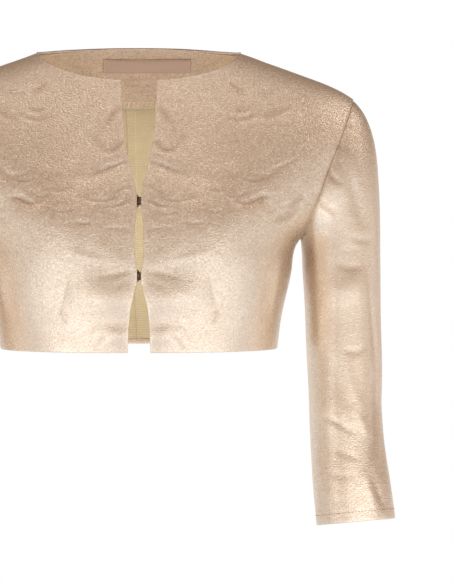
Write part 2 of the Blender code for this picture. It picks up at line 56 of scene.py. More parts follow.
cloth = dict(
    leatherWall=0.0018, facingWall=0.0015, liningWall=0.0010, labelWall=0.0010,
    underarmRing=3.0, shoulderRing=6.0, neckRing=8.0, firstRing=0.02, lastRing=7.98,
    armholeCentre=(0.1755, 0.002, -0.108),
    seamGap=0.0001,         # the seams are sewn shut here, so they stand closer than in the solids
    edgeRoll=0.0008, seamRoll=0.0001,       # how far a turned edge and a seamed one bulge
    edgePull=2.2,           # how sharply the columns crowd towards the armhole
    seamDip=0.0006, seamReach=0.0020,       # the cloth dips this deep and this wide along a seam
    frontScoop=0.0015, backScoop=-0.0060,
    bust=(0.078, -0.166, 0.048, 0.042, 0.012),      # x, z, width, height, rise
    blade=(0.070, -0.120, 0.050, 0.050, 0.005),
    largeFolds=[            # x, z, end x, end z, width, rise
        (0.006, -0.104, 0.064, -0.121, 0.0070, -0.0016),
        (0.018, -0.057, 0.040, -0.086, 0.0080, 0.0012),
        (0.088, -0.128, 0.136, -0.150, 0.0080, -0.0014),
        (0.010, -0.196, 0.036, -0.178, 0.0070, 0.0010),
    ],
)


# Natural cubic spline through the rows of a table: each piece is the straight line between two
# rows plus their two bends times (g^3 - g) / 6 and (f^3 - f) / 6
def splineRows(table, at):
    rows = np.array(table, float)
    last = len(rows) - 1
    bends = np.zeros_like(rows)
    links = 4 * np.eye(last - 1) + np.eye(last - 1, k=1) + np.eye(last - 1, k=-1)
    bends[1:-1] = np.linalg.solve(links, 6 * (rows[2:] - 2 * rows[1:-1] + rows[:-2]))
    at = np.clip(np.asarray(at, float), 0, last)
    low = np.minimum(at.astype(int), last - 1)
    f = (at - low)[..., None]
    g = 1 - f
    return g * rows[low] + f * rows[low + 1] + ((g**3 - g) * bends[low] + (f**3 - f) * bends[low + 1]) / 6


def unit(vectors):
    return vectors / np.maximum(np.linalg.norm(vectors, axis=-1, keepdims=True), 1e-12)


# Bell: rise times e to the minus (x off / width)^2 minus (z off / height)^2
def bellMound(x, z, shape):
    return shape[4] * np.exp(-(((np.abs(x) - shape[0]) / shape[2]) ** 2) - ((z - shape[1]) / shape[3]) ** 2)


# Bell across a straight line, faded where the share along it leaves 0 to 1
def largeFold(x, z, line):
    runX, runZ = line[2] - line[0], line[3] - line[1]
    length = math.hypot(runX, runZ)
    share = ((x - line[0]) * runX + (z - line[1]) * runZ) / length**2
    off = ((x - line[0]) * runZ - (z - line[1]) * runX) / length
    ends = np.clip((share - 0.5) ** 2 * 4 - 0.6, 0, None)
    return line[5] * np.exp(-((off / line[4]) ** 2) - 2 * ends)


# Bodice surface: half -1 front or 1 back, t 0 at the centre to 1 at the side. x, y and z follow a
# cubic curve in t whose middle handles are the ring's reach and turn
def bodice(half, t, ring):
    t, ring = np.broadcast_arrays(np.asarray(t, float), np.asarray(ring, float))
    s = np.moveaxis(splineRows(bodiceRings, ring), -1, 0)
    sideX, sideY, sideZ = s[0], s[1], s[2]
    centreY, centreZ, reach, turn = (s[3], s[4], s[7], s[8]) if half < 0 else (s[5], s[6], s[9], s[10])
    near = (1 - t) ** 3 + 3 * (1 - t) ** 2 * t
    x = sideX * (3 * (1 - t) ** 2 * t * reach + 1 - near)
    y = near * centreY + (1 - near) * sideY + 3 * (1 - t) * t**2 * turn * (centreY - sideY)
    z = near * centreZ + (1 - near) * sideZ
    if half < 0:
        y = y - bellMound(x, z, cloth["bust"]) - sum(largeFold(x, z, f) for f in cloth["largeFolds"])
    else:
        y = y + bellMound(x, z, cloth["blade"])
    return np.stack([x, y, z], -1)


# Direction square to the bodice: cross product of its two small steps
def bodiceOutward(half, t, ring):
    step = 1e-3
    along = bodice(half, t + step, ring) - bodice(half, t - step, ring)
    up = bodice(half, t, ring + step) - bodice(half, t, ring - step)
    return unit(np.cross(along, up) * -half)


# Smooth random hills between -1 and 1: random heights on a square grid, blended by 3f^2 - 2f^3
def randomHills(u, v, seed):
    heights = np.random.default_rng(seed).uniform(-1, 1, (64, 64))
    lowU, lowV = np.floor(u).astype(int), np.floor(v).astype(int)
    fu, fv = u - lowU, v - lowV
    fu, fv = fu * fu * (3 - 2 * fu), fv * fv * (3 - 2 * fv)
    a, b = heights[lowU % 64, lowV % 64], heights[(lowU + 1) % 64, lowV % 64]
    c, d = heights[lowU % 64, (lowV + 1) % 64], heights[(lowU + 1) % 64, (lowV + 1) % 64]
    return (a * (1 - fu) + b * fu) * (1 - fv) + (c * (1 - fu) + d * fu) * fv


# Listed creases: a quadratic curve through three points, a bell of its width across it, and
# a sine of the share along it so that both ends die out. All of them are added up
def creaseRelief(x, z, table):
    flatX, flatZ = np.ravel(x), np.ravel(z)
    total = np.zeros(flatX.shape)
    s = np.linspace(0, 1, 33)
    for x0, z0, x1, z1, x2, z2, width, height in np.array(table) * 0.001:
        handleX, handleZ = 2 * x1 - (x0 + x2) / 2, 2 * z1 - (z0 + z2) / 2
        lineX = (1 - s) ** 2 * x0 + 2 * s * (1 - s) * handleX + s * s * x2
        lineZ = (1 - s) ** 2 * z0 + 2 * s * (1 - s) * handleZ + s * s * z2
        far = 3 * width
        at = np.flatnonzero(
            (flatX > lineX.min() - far) & (flatX < lineX.max() + far)
            & (flatZ > lineZ.min() - far) & (flatZ < lineZ.max() + far)
        )
        startX, startZ, runX, runZ = lineX[:-1], lineZ[:-1], np.diff(lineX), np.diff(lineZ)
        offX, offZ = flatX[at, None] - startX, flatZ[at, None] - startZ
        share = np.clip((offX * runX + offZ * runZ) / (runX**2 + runZ**2), 0, 1)
        away = (offX - share * runX) ** 2 + (offZ - share * runZ) ** 2
        best = np.argmin(away, axis=1)
        picked = np.arange(at.size), best
        along = (best + share[picked]) / (s.size - 1)
        total[at] += height * np.exp(-away[picked] / width**2) * np.sin(np.pi * along) ** 0.7
    return total.reshape(np.shape(x))


# Bottoms of the narrow creases, 0 to 1, where painted shade darkens the cloth
def creaseShadeMark(x, z, table):
    narrow = [(*c[:6], 0.75 * c[6], c[7]) for c in table if c[6] < fronts["narrow"]]
    return np.clip(-creaseRelief(x, z, narrow) / 0.0008, 0, 1)


# Fine crumpling: thin ridges where a stretched field of hills crosses zero, (1 - |hills|)^5
def crumple(u, v, seed):
    bent = randomHills(u / 0.017, v / 0.017, seed + 1)
    hills = randomHills(u / 0.013 + 0.5 * bent, v / 0.0058 + 0.9 * bent, seed)
    return (1 - np.abs(hills)) ** 5


fronts = dict(
    columns=140, rowsBelow=66, rowsArmhole=100, rowsShoulder=44,
    # Half of the gap between the two front edges, from the neck down: z, half width
    gap=[
        (-0.0300, 0.0163), (-0.0550, 0.0150), (-0.0915, 0.0112), (-0.1110, 0.0070), (-0.1330, 0.0021),
        (-0.1440, 0.0018), (-0.1540, 0.0030), (-0.1790, 0.0041), (-0.1930, 0.0032), (-0.2010, 0.0018),
        (-0.2100, 0.0018), (-0.2190, 0.0036), (-0.2330, 0.0070), (-0.2530, 0.0092), (-0.2735, 0.0100),
    ],
    # Creases in millimetres: start x z, middle x z, end x z, width, height (minus is a trough)
    creases=[
        (8.9, -103.9, 25.1, -108.5, 45.8, -120.6, 2.3, -1.00),
        (11.6, -116.1, 27.6, -120.6, 45.3, -131.4, 10.0, 0.60),
        (13.0, -83.4, 19.8, -90.3, 35.5, -97.3, 2.3, -0.92),
        (16.9, -93.6, 25.8, -100.7, 41.8, -105.2, 6.0, 0.35),
        (19.6, -91.0, 27.6, -92.3, 38.2, -89.6, 2.3, -0.57),
        (16.4, -54.9, 26.0, -64.4, 43.2, -87.8, 4.2, -1.00),
        (22.2, -53.6, 31.1, -67.0, 40.0, -82.1, 4.5, 0.90),
        (33.7, -32.4, 54.6, -60.3, 96.0, -86.0, 13.0, 1.50),
        (42.7, -46.5, 58.7, -72.3, 79.1, -91.0, 5.0, -0.60),
        (82.1, -30.7, 89.1, -36.7, 101.2, -41.9, 2.5, -0.80),
        (102.2, -43.0, 114.7, -40.3, 128.0, -36.7, 3.0, -0.45),
        (85.6, -56.6, 92.5, -57.7, 100.5, -56.6, 2.3, -0.63),
        (80.0, -63.4, 92.5, -66.1, 109.3, -60.7, 2.3, -0.57),
        (109.3, -65.2, 125.3, -59.8, 141.4, -51.8, 3.2, -0.50),
        (127.1, -70.5, 137.8, -64.3, 148.5, -60.7, 3.0, 0.50),
        (90.8, -117.2, 102.9, -120.8, 120.2, -117.2, 2.3, -0.92),
        (95.1, -112.7, 109.3, -115.8, 127.1, -112.3, 2.3, -0.69),
        (82.1, -137.9, 96.0, -139.7, 112.9, -131.9, 2.3, -1.03),
        (88.0, -145.2, 102.2, -139.4, 116.5, -133.2, 2.3, -0.69),
        (77.3, -132.7, 88.0, -135.0, 98.7, -129.6, 2.3, -0.57),
        (132.3, -146.5, 142.7, -139.7, 149.6, -129.3, 3.0, -0.90),
        (120.2, -156.9, 135.8, -151.8, 146.2, -143.1, 3.4, -0.90),
        (116.5, -111.4, 128.9, -107.4, 143.1, -99.8, 2.3, -0.57),
        (16.4, -129.3, 29.3, -138.5, 56.2, -134.4, 2.3, -0.92),
        (8.9, -131.9, 18.7, -142.1, 40.0, -143.9, 2.3, -0.80),
        (6.2, -125.6, 16.9, -129.2, 29.3, -135.9, 2.3, -0.69),
        (3.6, -139.0, 13.3, -140.7, 24.0, -146.5, 2.3, -0.57),
        (18.7, -151.0, 32.0, -149.6, 42.7, -144.7, 2.3, -0.57),
        (42.3, -157.3, 49.8, -159.1, 58.5, -157.6, 2.3, -0.69),
        (59.6, -126.5, 68.5, -130.1, 79.1, -127.9, 2.3, -0.57),
        (57.8, -146.1, 68.5, -148.7, 80.9, -144.7, 2.3, -0.57),
        (6.2, -165.6, 18.7, -163.0, 34.7, -164.3, 2.3, -0.40),
        (4.3, -200.1, 18.7, -203.3, 40.0, -207.0, 2.6, -0.35),
        (2.0, -222.5, 30.0, -225.5, 66.0, -220.0, 17.5, 5.30),
        (4.0, -257.5, 22.2, -258.5, 42.0, -254.0, 9.0, 3.20),
        (16.9, -193.2, 41.8, -189.6, 68.5, -181.6, 4.0, 0.50),
        (7.1, -208.1, 16.9, -213.3, 29.6, -223.1, 2.8, -0.18),
        (59.6, -250.1, 65.3, -243.4, 70.1, -236.5, 2.3, 0.57),
        (79.1, -193.2, 67.6, -214.5, 54.2, -237.6, 12.0, -0.70),
        (95.1, -179.0, 98.7, -218.1, 95.1, -259.0, 14.0, 0.90),
        (116.5, -193.2, 114.7, -227.0, 109.3, -262.5, 6.0, -0.60),
        (129.8, -182.5, 125.3, -214.5, 121.8, -246.5, 4.0, 0.50),
        (25.8, -253.6, 32.9, -262.5, 40.0, -270.5, 3.0, -0.40),
        (59.6, -93.6, 86.2, -99.0, 114.7, -91.8, 12.0, -0.80),
        (50.7, -109.6, 73.8, -113.2, 95.1, -107.8, 5.0, 0.50),
    ],
    narrow=4.6, narrowGain=2.0,         # creases narrower than this are made this much stronger
    wavesHeight=0.00045, crumpleHeight=0.00012, chest=(-0.128, 0.034),
    crinkled=(-0.132, 0.040, 0.75),     # height, reach and amount of the crinkled band
    grain=[(-0.275, 0.50), (-0.225, 0.65), (-0.185, 1.0), (0.0, 1.0)],      # z, strength of the grain
    turnIn=0.024, facingBand=0.055,     # leather shows this far inside the hem, and the front edge
    leastGap=0.0016,                    # the gap's half width is never less than this
)


# Relief of a front over its base surface: listed creases, soft waves, and crumpling that a bell
# over the height gathers on the chest
def frontRelief(x, z):
    side = np.abs(x)
    middle, reach = fronts["chest"]
    chest = np.exp(-(((z - middle) / reach) ** 2))
    waves = randomHills(side / 0.034 + 7, z / 0.027, 11)
    gains = [fronts["narrowGain"] if crease[6] < fronts["narrow"] else 1.0 for crease in fronts["creases"]]
    creases = [(*crease[:7], crease[7] * gain) for crease, gain in zip(fronts["creases"], gains)]
    return (
        creaseRelief(side, z, creases)
        + fronts["wavesHeight"] * waves
        + fronts["crumpleHeight"] * (0.25 + 0.75 * chest) * (crumple(side, z, 21) - 0.2)
    )


back = dict(
    columns=200, crinkled=(-0.120, 0.060, 0.75), grain=fronts["grain"],
    # Creases in millimetres over the whole width, left and right uneven
    creases=[
        (-152, -76, -118, -92, -82, -93, 4.0, -0.80), (156, -84, 120, -104, 88, -118, 4.4, -0.85),
        (-146, -104, -116, -126, -92, -152, 7.0, 0.90), (149, -108, 119, -133, 99, -160, 7.5, 0.95),
        (-52, -58, -16, -63, 12, -55, 3.0, -0.45), (-66, -156, -34, -161, 2, -154, 3.2, -0.45),
        (-104, -122, -80, -136, -62, -146, 3.0, -0.60), (50, -118, 76, -132, 92, -146, 3.0, -0.55),
        (-86, -240, -56, -228, -22, -231, 6.0, 0.70), (28, -246, 58, -232, 96, -236, 5.0, -0.60),
        (-112, -190, -90, -206, -66, -214, 2.8, -0.50), (60, -214, 86, -207, 114, -190, 2.6, -0.50),
        (126, -142, 121, -182, 118, -236, 6.0, -0.80), (-127, -148, -122, -190, -119, -240, 6.5, -0.80),
        (-34, -90, -10, -140, -18, -196, 9.0, 0.80), (36, -82, 20, -130, 34, -182, 8.0, 0.70),
        (-96, -40, -74, -50, -56, -52, 2.8, -0.45), (98, -42, 78, -56, 54, -62, 2.8, -0.45),
        (-150, -140, -138, -156, -120, -168, 2.8, -0.60), (152, -138, 140, -155, 121, -166, 2.8, -0.60),
        (-44, -212, -20, -221, 8, -219, 2.8, -0.35), (24, -178, 46, -186, 60, -199, 2.6, -0.40),
    ],
    wavesHeight=0.0007, crumpleHeight=0.00012,
)


# Relief of the back, its lining and its facing: creases, soft waves and a little crumpling
def backRelief(x, z):
    return (
        creaseRelief(x, z, back["creases"])
        + back["wavesHeight"] * randomHills(x / 0.038 + 20, z / 0.031, 31)
        + back["crumpleHeight"] * (crumple(x + 0.4, z, 41) - 0.2)
    )


# Turns points or directions worked out for the +X side to the side that t lies on
def toSide(t, vectors):
    sign = np.where(t < 0, -1.0, 1.0)
    return vectors * np.stack([sign, np.ones_like(sign), np.ones_like(sign)], -1)


# Points of a cloth layer: the bodice plus its outward direction times relief minus depth.
# A negative t lies on the -X side
def clothLayer(half, t, ring, depth, relief):
    t, ring = np.broadcast_arrays(np.asarray(t, float), np.asarray(ring, float))
    points = bodice(half, np.abs(t), ring)
    lift = relief(toSide(t, points)[..., 0], points[..., 2]) - depth
    return toSide(t, points + bodiceOutward(half, np.abs(t), ring) * lift[..., None])


# The t at which each ring passes a line, found by halving the interval 34 times
def ringCrossing(half, rings, beyond):
    low, high = np.zeros_like(rings), np.ones_like(rings)
    for _ in range(34):
        middle = (low + high) / 2
        past = beyond(bodice(half, middle, rings)) > 0
        low, high = np.where(past, low, middle), np.where(past, middle, high)
    return (low + high) / 2


# Half of the front gap at a height: a cubic curve between the table's points, slopes by differences
def gapHalfWidth(z):
    table = np.array(fronts["gap"])[::-1]
    heights, widths = table[:, 0], table[:, 1]
    slopes = np.gradient(widths, heights)
    z = np.clip(z, heights[0], heights[-1])
    low = np.clip(np.searchsorted(heights, z) - 1, 0, len(heights) - 2)
    span = heights[low + 1] - heights[low]
    f = (z - heights[low]) / span
    smooth = (2 * f**3 - 3 * f**2 + 1) * widths[low] + (3 * f**2 - 2 * f**3) * widths[low + 1]
    bend = (f**3 - 2 * f**2 + f) * slopes[low] + (f**3 - f**2) * slopes[low + 1]
    return np.maximum(smooth + bend * span, fronts["leastGap"])


# Ring number of each row, evenly below and above the armhole and by a cosine swing along it
def bodiceRows(first, last):
    below = np.linspace(first, cloth["underarmRing"], fronts["rowsBelow"] + 1)
    swing = (1 - np.cos(np.linspace(0, math.pi, fronts["rowsArmhole"] + 1))) / 2
    along = cloth["underarmRing"] + (cloth["shoulderRing"] - cloth["underarmRing"]) * swing
    above = np.linspace(cloth["shoulderRing"], last, fronts["rowsShoulder"] + 1)
    return np.concatenate([below, along[1:], above[1:]])


# t of a panel's outer edge: the side seam, then a nearly straight armhole, then the shoulder seam
def sideLimit(half, rings):
    low, high = bodiceRings[3], bodiceRings[6]
    scoop = cloth["frontScoop"] if half < 0 else cloth["backScoop"]
    sideY = splineRows(bodiceRings, rings)[..., 1]

    def pastArmhole(points):
        share = np.clip((points[..., 2] - low[2]) / (high[2] - low[2]), 0, 1)
        return points[..., 0] - low[0] - (high[0] - low[0]) * share + scoop * np.sin(math.pi * share)

    seam = ringCrossing(half, rings, lambda p: cloth["seamGap"] / 2 - half * (p[..., 1] - sideY))
    along = (rings > cloth["underarmRing"] + 1e-9) & (rings < cloth["shoulderRing"] - 1e-9)
    return np.where(along, np.minimum(ringCrossing(half, rings, pastArmhole), seam), seam)


# Distance walked over a grid from its first column, or from its first row
def walked(points, axis):
    steps = np.linalg.norm(np.diff(points, axis=axis), axis=-1)
    start = np.zeros_like(np.take(steps, [0], axis=axis))
    return np.concatenate([start, np.cumsum(steps, axis=axis)], axis=axis)


def towardsArmhole(points):
    centre = np.broadcast_to(cloth["armholeCentre"], points.shape)
    return unit(toSide(points[..., 0], centre) - points)


# Corner numbers of a grid's quads, counted row by row
def gridQuads(rows, columns, closed):
    r = np.arange(rows - 1)[:, None]
    c = np.arange(columns if closed else columns - 1)[None, :]
    right = (c + 1) % columns
    corners = [r * columns + c, r * columns + right, (r + 1) * columns + right, (r + 1) * columns + c]
    return np.stack(np.broadcast_arrays(*corners), -1).reshape(-1, 4)


# Makes a mesh object with smooth shading from whole arrays. corners is one row a face
def meshPiece(name, points, corners, materials, slots=None, uv=None, marks=None):
    mesh = bpy.data.meshes.new(name)
    points, corners = np.asarray(points, np.float32).reshape(-1, 3), np.asarray(corners, np.int32)
    size = corners.shape[1]
    mesh.vertices.add(len(points))
    mesh.vertices.foreach_set("co", points.ravel())
    mesh.loops.add(corners.size)
    mesh.loops.foreach_set("vertex_index", corners.ravel())
    mesh.polygons.add(len(corners))
    mesh.polygons.foreach_set("loop_start", np.arange(0, corners.size, size, dtype=np.int32))
    mesh.update(calc_edges=True)
    for surface in materials:
        mesh.materials.append(surface)
    if slots is not None:
        mesh.polygons.foreach_set("material_index", np.asarray(slots, np.int32))
    if uv is not None:
        layer = mesh.uv_layers.new(name="cloth")
        layer.data.foreach_set("uv", np.asarray(uv, np.float32).reshape(-1, 2)[corners.ravel()].ravel())
    for mark, values in (marks or {}).items():
        layer = mesh.attributes.new(mark, "FLOAT", "POINT")
        layer.data.foreach_set("value", np.asarray(values, np.float32).ravel())
    mesh.shade_smooth()
    mesh.validate()
    made = bpy.data.objects.new(name, mesh)
    bpy.context.scene.collection.objects.link(made)
    return made


# Closed wall of cloth between two grids. Its rim is a half ellipse: middle + half thickness * cos a
# + edge direction * roll * sin a. rolls are for the first row, last column, last row, first column.
# insideSlot is the material's number on the inner side, one for all its faces or one for each
def clothWall(name, outer, inner, rolls, materials, insideSlot, marks, closed=False, flip=False):
    rows, columns = outer.shape[:2]
    count = rows * columns
    index = np.arange(count).reshape(rows, columns)
    quads = gridQuads(rows, columns, closed)
    faces = [quads, quads[:, ::-1] + count]
    slots = [np.zeros(len(quads), int), np.zeros(len(quads), int) + np.ravel(insideSlot)]
    points = [outer.reshape(-1, 3), inner.reshape(-1, 3)]
    plane = np.stack([walked(outer, 1), walked(outer, 0)], -1).reshape(-1, 2)
    uv = [plane, plane]
    values = {mark: [np.ravel(v), np.ravel(v)] for mark, v in marks.items()}
    away = np.zeros_like(outer)
    away[0] += unit(outer[0] - outer[1]) * rolls[0]
    away[-1] += unit(outer[-1] - outer[-2]) * rolls[2]
    if closed:
        loops = [index[0], index[-1][::-1]]
    else:
        away[:, -1] += unit(outer[:, -1] - outer[:, -2]) * rolls[1]
        away[:, 0] += unit(outer[:, 0] - outer[:, 1]) * rolls[3]
        loops = [np.concatenate([index[0, :-1], index[:-1, -1], index[-1, :0:-1], index[:0:-1, 0]])]
    at = 2 * count
    for loop in loops:
        high, low = points[0][loop], points[1][loop]
        level = loop
        for degrees in (36, 72, 108, 144, 180):
            if degrees == 180:
                follow = loop + count
            else:
                a = math.radians(degrees)
                points.append((high + low) / 2 + (high - low) / 2 * math.cos(a)
                              + away.reshape(-1, 3)[loop] * math.sin(a))
                follow = at + np.arange(loop.size)
                at += loop.size
                uv.append(plane[loop])
                for mark in values:
                    values[mark].append(values[mark][0][loop])
            faces.append(np.stack([np.roll(level, -1), level, follow, np.roll(follow, -1)], -1))
            slots.append(np.zeros(loop.size, int))
            level = follow
    faces = np.concatenate(faces)
    if flip:
        faces = faces[:, ::-1]
    points, slots, uv = np.concatenate(points), np.concatenate(slots), np.concatenate(uv)
    joined = {mark: np.concatenate(v) for mark, v in values.items()}
    return meshPiece(name, points, faces, materials, slots, uv, joined)


# A wall for the wearer's left side and its mirror image for the right side
def wallPair(name, outer, inner, *rest, **more):
    mirror = np.array([-1.0, 1, 1])
    left = clothWall(name + "left", outer, inner, *rest, **more)
    right = clothWall(name + "right", outer * mirror, inner * mirror, *rest, **more, flip=True)
    return ("left", left), ("right", right)


# Sinks the cloth along its outward direction by a bell of the distance from a seam
def sinkSeams(points, outwards, distance):
    return points - outwards * (cloth["seamDip"] * np.exp(-((distance / cloth["seamReach"]) ** 2)))[..., None]


# Round tube along a path: ring points are path + radius * (cos b * side + sin b * top), with the
# path's own direction turned square to a fixed up direction
def tubeAlong(path, radius, sides, closed, up):
    path = np.asarray(path, float)
    if closed:
        heading = np.roll(path, -1, 0) - np.roll(path, 1, 0)
    else:
        heading = np.gradient(path, axis=0)
    heading = unit(heading)
    side = unit(np.cross(heading, np.array(up)))
    top = np.cross(side, heading)
    b = np.linspace(0, 2 * math.pi, sides, endpoint=False)
    ring = np.cos(b)[None, :, None] * side[:, None] + np.sin(b)[None, :, None] * top[:, None]
    points = (path[:, None] + ring * radius).reshape(-1, 3)
    quads = gridQuads(len(path), sides, True)
    if closed:
        last, first = np.arange(sides) + (len(path) - 1) * sides, np.arange(sides)
        seam = np.stack([last, np.roll(last, -1), np.roll(first, -1), first], -1)
        quads = np.concatenate([quads, seam])
    else:
        points = np.concatenate([points, path[[0, -1]]])
        rim, tip = np.arange(sides), np.full(sides, len(points) - 2)
        quads = np.concatenate([quads, np.stack([tip, tip, np.roll(rim, -1), rim], -1)])
        rim, tip = rim + (len(path) - 1) * sides, tip + 1
        quads = np.concatenate([quads, np.stack([tip, tip, rim, np.roll(rim, -1)], -1)])
    return points, quads


# Sewn threads: each stitch is a bowed line from its start to its end, raised by lift times the sine
# of its share, with a six-sided ring at five places that narrows to a tip at both ends
def stitchPiece(name, starts, ends, outwards, radius, lift, surface):
    starts, ends = np.asarray(starts, float), np.asarray(ends, float)
    share = np.array([0.0, 0.12, 0.5, 0.88, 1.0])
    thick = np.array([0.15, 0.85, 1.0, 0.85, 0.15]) * radius
    line = starts[:, None] + (ends - starts)[:, None] * share[None, :, None]
    line = line + outwards[:, None] * (np.sin(np.pi * share) * lift)[None, :, None]
    heading = unit(ends - starts)
    side = unit(np.cross(heading, outwards))
    top = np.cross(side, heading)
    b = np.linspace(0, 2 * math.pi, 6, endpoint=False)[:, None]
    ring = np.cos(b) * side[:, None, None] + np.sin(b) * top[:, None, None]
    points = line[:, :, None] + ring * thick[None, :, None, None]
    sides = gridQuads(5, 6, True)
    caps = np.array([[3, 2, 1, 0], [5, 4, 3, 0], [24, 25, 26, 27], [24, 27, 28, 29]])
    one = np.concatenate([sides, caps])
    corners = (one[None] + 30 * np.arange(len(starts))[:, None, None]).reshape(-1, 4)
    return meshPiece(name, points.reshape(-1, 3), corners, [surface])


# Evenly spaced points along a line: distance walked, then straight interpolation
def spaced(path, pitch, closed=False):
    path = np.asarray(path, float)
    if closed:
        path = np.concatenate([path, path[:1]])
    far = walked(path[None], 1)[0]
    number = max(2, int(round(far[-1] / pitch)))
    at = np.linspace(0, far[-1], number, endpoint=not closed)
    return np.stack([np.interp(at, far, path[:, k]) for k in range(3)], -1)


# Directions of the surface points nearest to a path's points
def nearestOutwards(outwards, path, surface):
    near = np.argmin(np.linalg.norm(surface.reshape(-1, 3)[None] - path[:, None], axis=-1), axis=1)
    return outwards.reshape(-1, 3)[near]


# Materials

def newMaterial(name):
    made = bpy.data.materials.new(name)
    made.use_nodes = True
    return made, made.node_tree, made.node_tree.nodes["Principled BSDF"]


# Adds a node, sets its properties and its inputs, and links sockets given as inputs
def addNode(tree, kind, inputs=None, **properties):
    node = tree.nodes.new(kind)
    for key, value in properties.items():
        setattr(node, key, value)
    for key, value in (inputs or {}).items():
        if isinstance(value, bpy.types.NodeSocket):
            tree.links.new(value, node.inputs[key])
        else:
            node.inputs[key].default_value = value
    return node


def addMath(tree, operation, a, b=0.0, c=0.0, clamp=False):
    node = addNode(tree, "ShaderNodeMath", {0: a, 1: b, 2: c}, operation=operation, use_clamp=clamp)
    return node.outputs[0]


# Adds a times its share and b times its share
def addShares(tree, a, shareA, b, shareB, clamp=False):
    first, second = addMath(tree, "MULTIPLY", a, shareA), addMath(tree, "MULTIPLY", b, shareB)
    return addMath(tree, "ADD", first, second, clamp=clamp)


def addNoise(tree, place, scale, detail=2.0, output=0, **more):
    inputs = {"Vector": place, "Scale": scale, "Detail": detail, **more}
    return addNode(tree, "ShaderNodeTexNoise", inputs).outputs[output]


def addBump(tree, height, depth, strength=1.0, **more):
    inputs = {"Height": height, "Distance": depth, "Strength": strength, **more}
    return addNode(tree, "ShaderNodeBump", inputs).outputs[0]


def mixColours(tree, share, a, b):
    node = addNode(tree, "ShaderNodeMix", {0: share}, data_type="RGBA")
    for slot, value in ((6, a), (7, b)):
        if isinstance(value, bpy.types.NodeSocket):
            tree.links.new(value, node.inputs[slot])
        else:
            node.inputs[slot].default_value = (*value, 1)
    return node.outputs[2]


def objectPlace(tree):
    return addNode(tree, "ShaderNodeTexCoord").outputs["Object"]


def clothPlane(tree):
    return addNode(tree, "ShaderNodeUVMap", uv_map="cloth").outputs[0]


def readMark(tree, name):
    return addNode(tree, "ShaderNodeAttribute", attribute_name=name).outputs["Fac"]


# Starts a node group. An input is a number with its usual value, or a vector where that is None,
# and each output is a number
def newGroup(name, inputs, outputs):
    tree = bpy.data.node_groups.new(name, "ShaderNodeTree")
    for label, value in inputs.items():
        kind = "NodeSocketVector" if value is None else "NodeSocketFloat"
        socket = tree.interface.new_socket(label, in_out="INPUT", socket_type=kind)
        if value is not None:
            socket.default_value = value
    for label in outputs:
        tree.interface.new_socket(label, in_out="OUTPUT", socket_type="NodeSocketFloat")
    return tree, tree.nodes.new("NodeGroupInput").outputs, tree.nodes.new("NodeGroupOutput").inputs


def placeGroup(tree, group, inputs):
    return addNode(tree, "ShaderNodeGroup", inputs, node_tree=group).outputs


# Pebbled grain: rounded cells of two sizes. Crevice is 1 in the lines between them, Flake is a random
# value for each cell
def pebbleGroup():
    outputs = ("Height", "Crevice", "Flake")
    tree, given, out = newGroup("pebbleGrain", {"Vector": None, "Cells": 600.0}, outputs)
    bend = addNoise(tree, given["Vector"], 260.0, output="Color")
    offset = addNode(tree, "ShaderNodeVectorMath", {0: bend, 1: (0.5, 0.5, 0.5)}, operation="SUBTRACT")
    small = addNode(tree, "ShaderNodeVectorMath", {0: offset.outputs[0], 3: 0.0016}, operation="SCALE")
    both = {0: given["Vector"], 1: small.outputs[0]}
    moved = addNode(tree, "ShaderNodeVectorMath", both, operation="ADD").outputs[0]
    cells, fine = (
        addNode(tree, "ShaderNodeTexVoronoi", {"Vector": moved, "Scale": scale}, feature="F1").outputs
        for scale in (given["Cells"], addMath(tree, "MULTIPLY", given["Cells"], 2.3))
    )
    large, little = (addMath(tree, "SUBTRACT", 1.0, c["Distance"]) for c in (cells, fine))
    tree.links.new(addShares(tree, large, 0.72, little, 0.28), out["Height"])
    span = {0: cells["Distance"], 1: 0.45, 2: 0.85}
    creviceShade = addNode(tree, "ShaderNodeMapRange", span, interpolation_type="SMOOTHSTEP")
    tree.links.new(creviceShade.outputs[0], out["Crevice"])
    split = addNode(tree, "ShaderNodeSeparateColor", {0: cells["Color"]})
    tree.links.new(split.outputs[0], out["Flake"])
    return tree


# Crinkles: thin lines where a stretched noise n crosses its middle, (1 - 3 |2n - 1|)^3, weighed by a
# mask
def crinkleGroup():
    tree, given, out = newGroup("crinkle", {"Vector": None, "Scale": 60.0, "Mask": 1.0}, ("Height", "Line"))
    stretched = addNode(tree, "ShaderNodeMapping", {"Vector": given["Vector"], "Scale": (1.0, 1.0, 2.6)})
    noise = addNoise(tree, stretched.outputs[0], given["Scale"], 4.0, Roughness=0.55, Distortion=0.7)
    doubled = addMath(tree, "SUBTRACT", addMath(tree, "MULTIPLY", noise, 2.0), 1.0)
    off = addMath(tree, "MULTIPLY", addMath(tree, "ABSOLUTE", doubled), 3.0)
    ridge = addMath(tree, "POWER", addMath(tree, "SUBTRACT", 1.0, off, clamp=True), 3.0)
    line = addMath(tree, "MULTIPLY", ridge, given["Mask"])
    tree.links.new(line, out["Line"])
    tree.links.new(addMath(tree, "MULTIPLY", line, -1.0), out["Height"])
    return tree


# Worn edge and painted highlight: an edge mark broken up by noise, for rubbed wear and for the sheen painted
# along turned edges
def wearAndSheenGroup():
    tree, given, out = newGroup("edgeWearAndSheen", {"Vector": None, "Edge": 0.0, "Amount": 0.5}, ("WornAndSheen",))
    noise = addNoise(tree, given["Vector"], 240.0, 3.0)
    broken = addNode(tree, "ShaderNodeMapRange", {0: noise, 1: 0.35, 2: 0.65, 3: 0.3, 4: 1.0}).outputs[0]
    wornAndSheen = addMath(tree, "MULTIPLY", addMath(tree, "MULTIPLY", given["Edge"], broken), given["Amount"])
    tree.links.new(wornAndSheen, out["WornAndSheen"])
    return tree


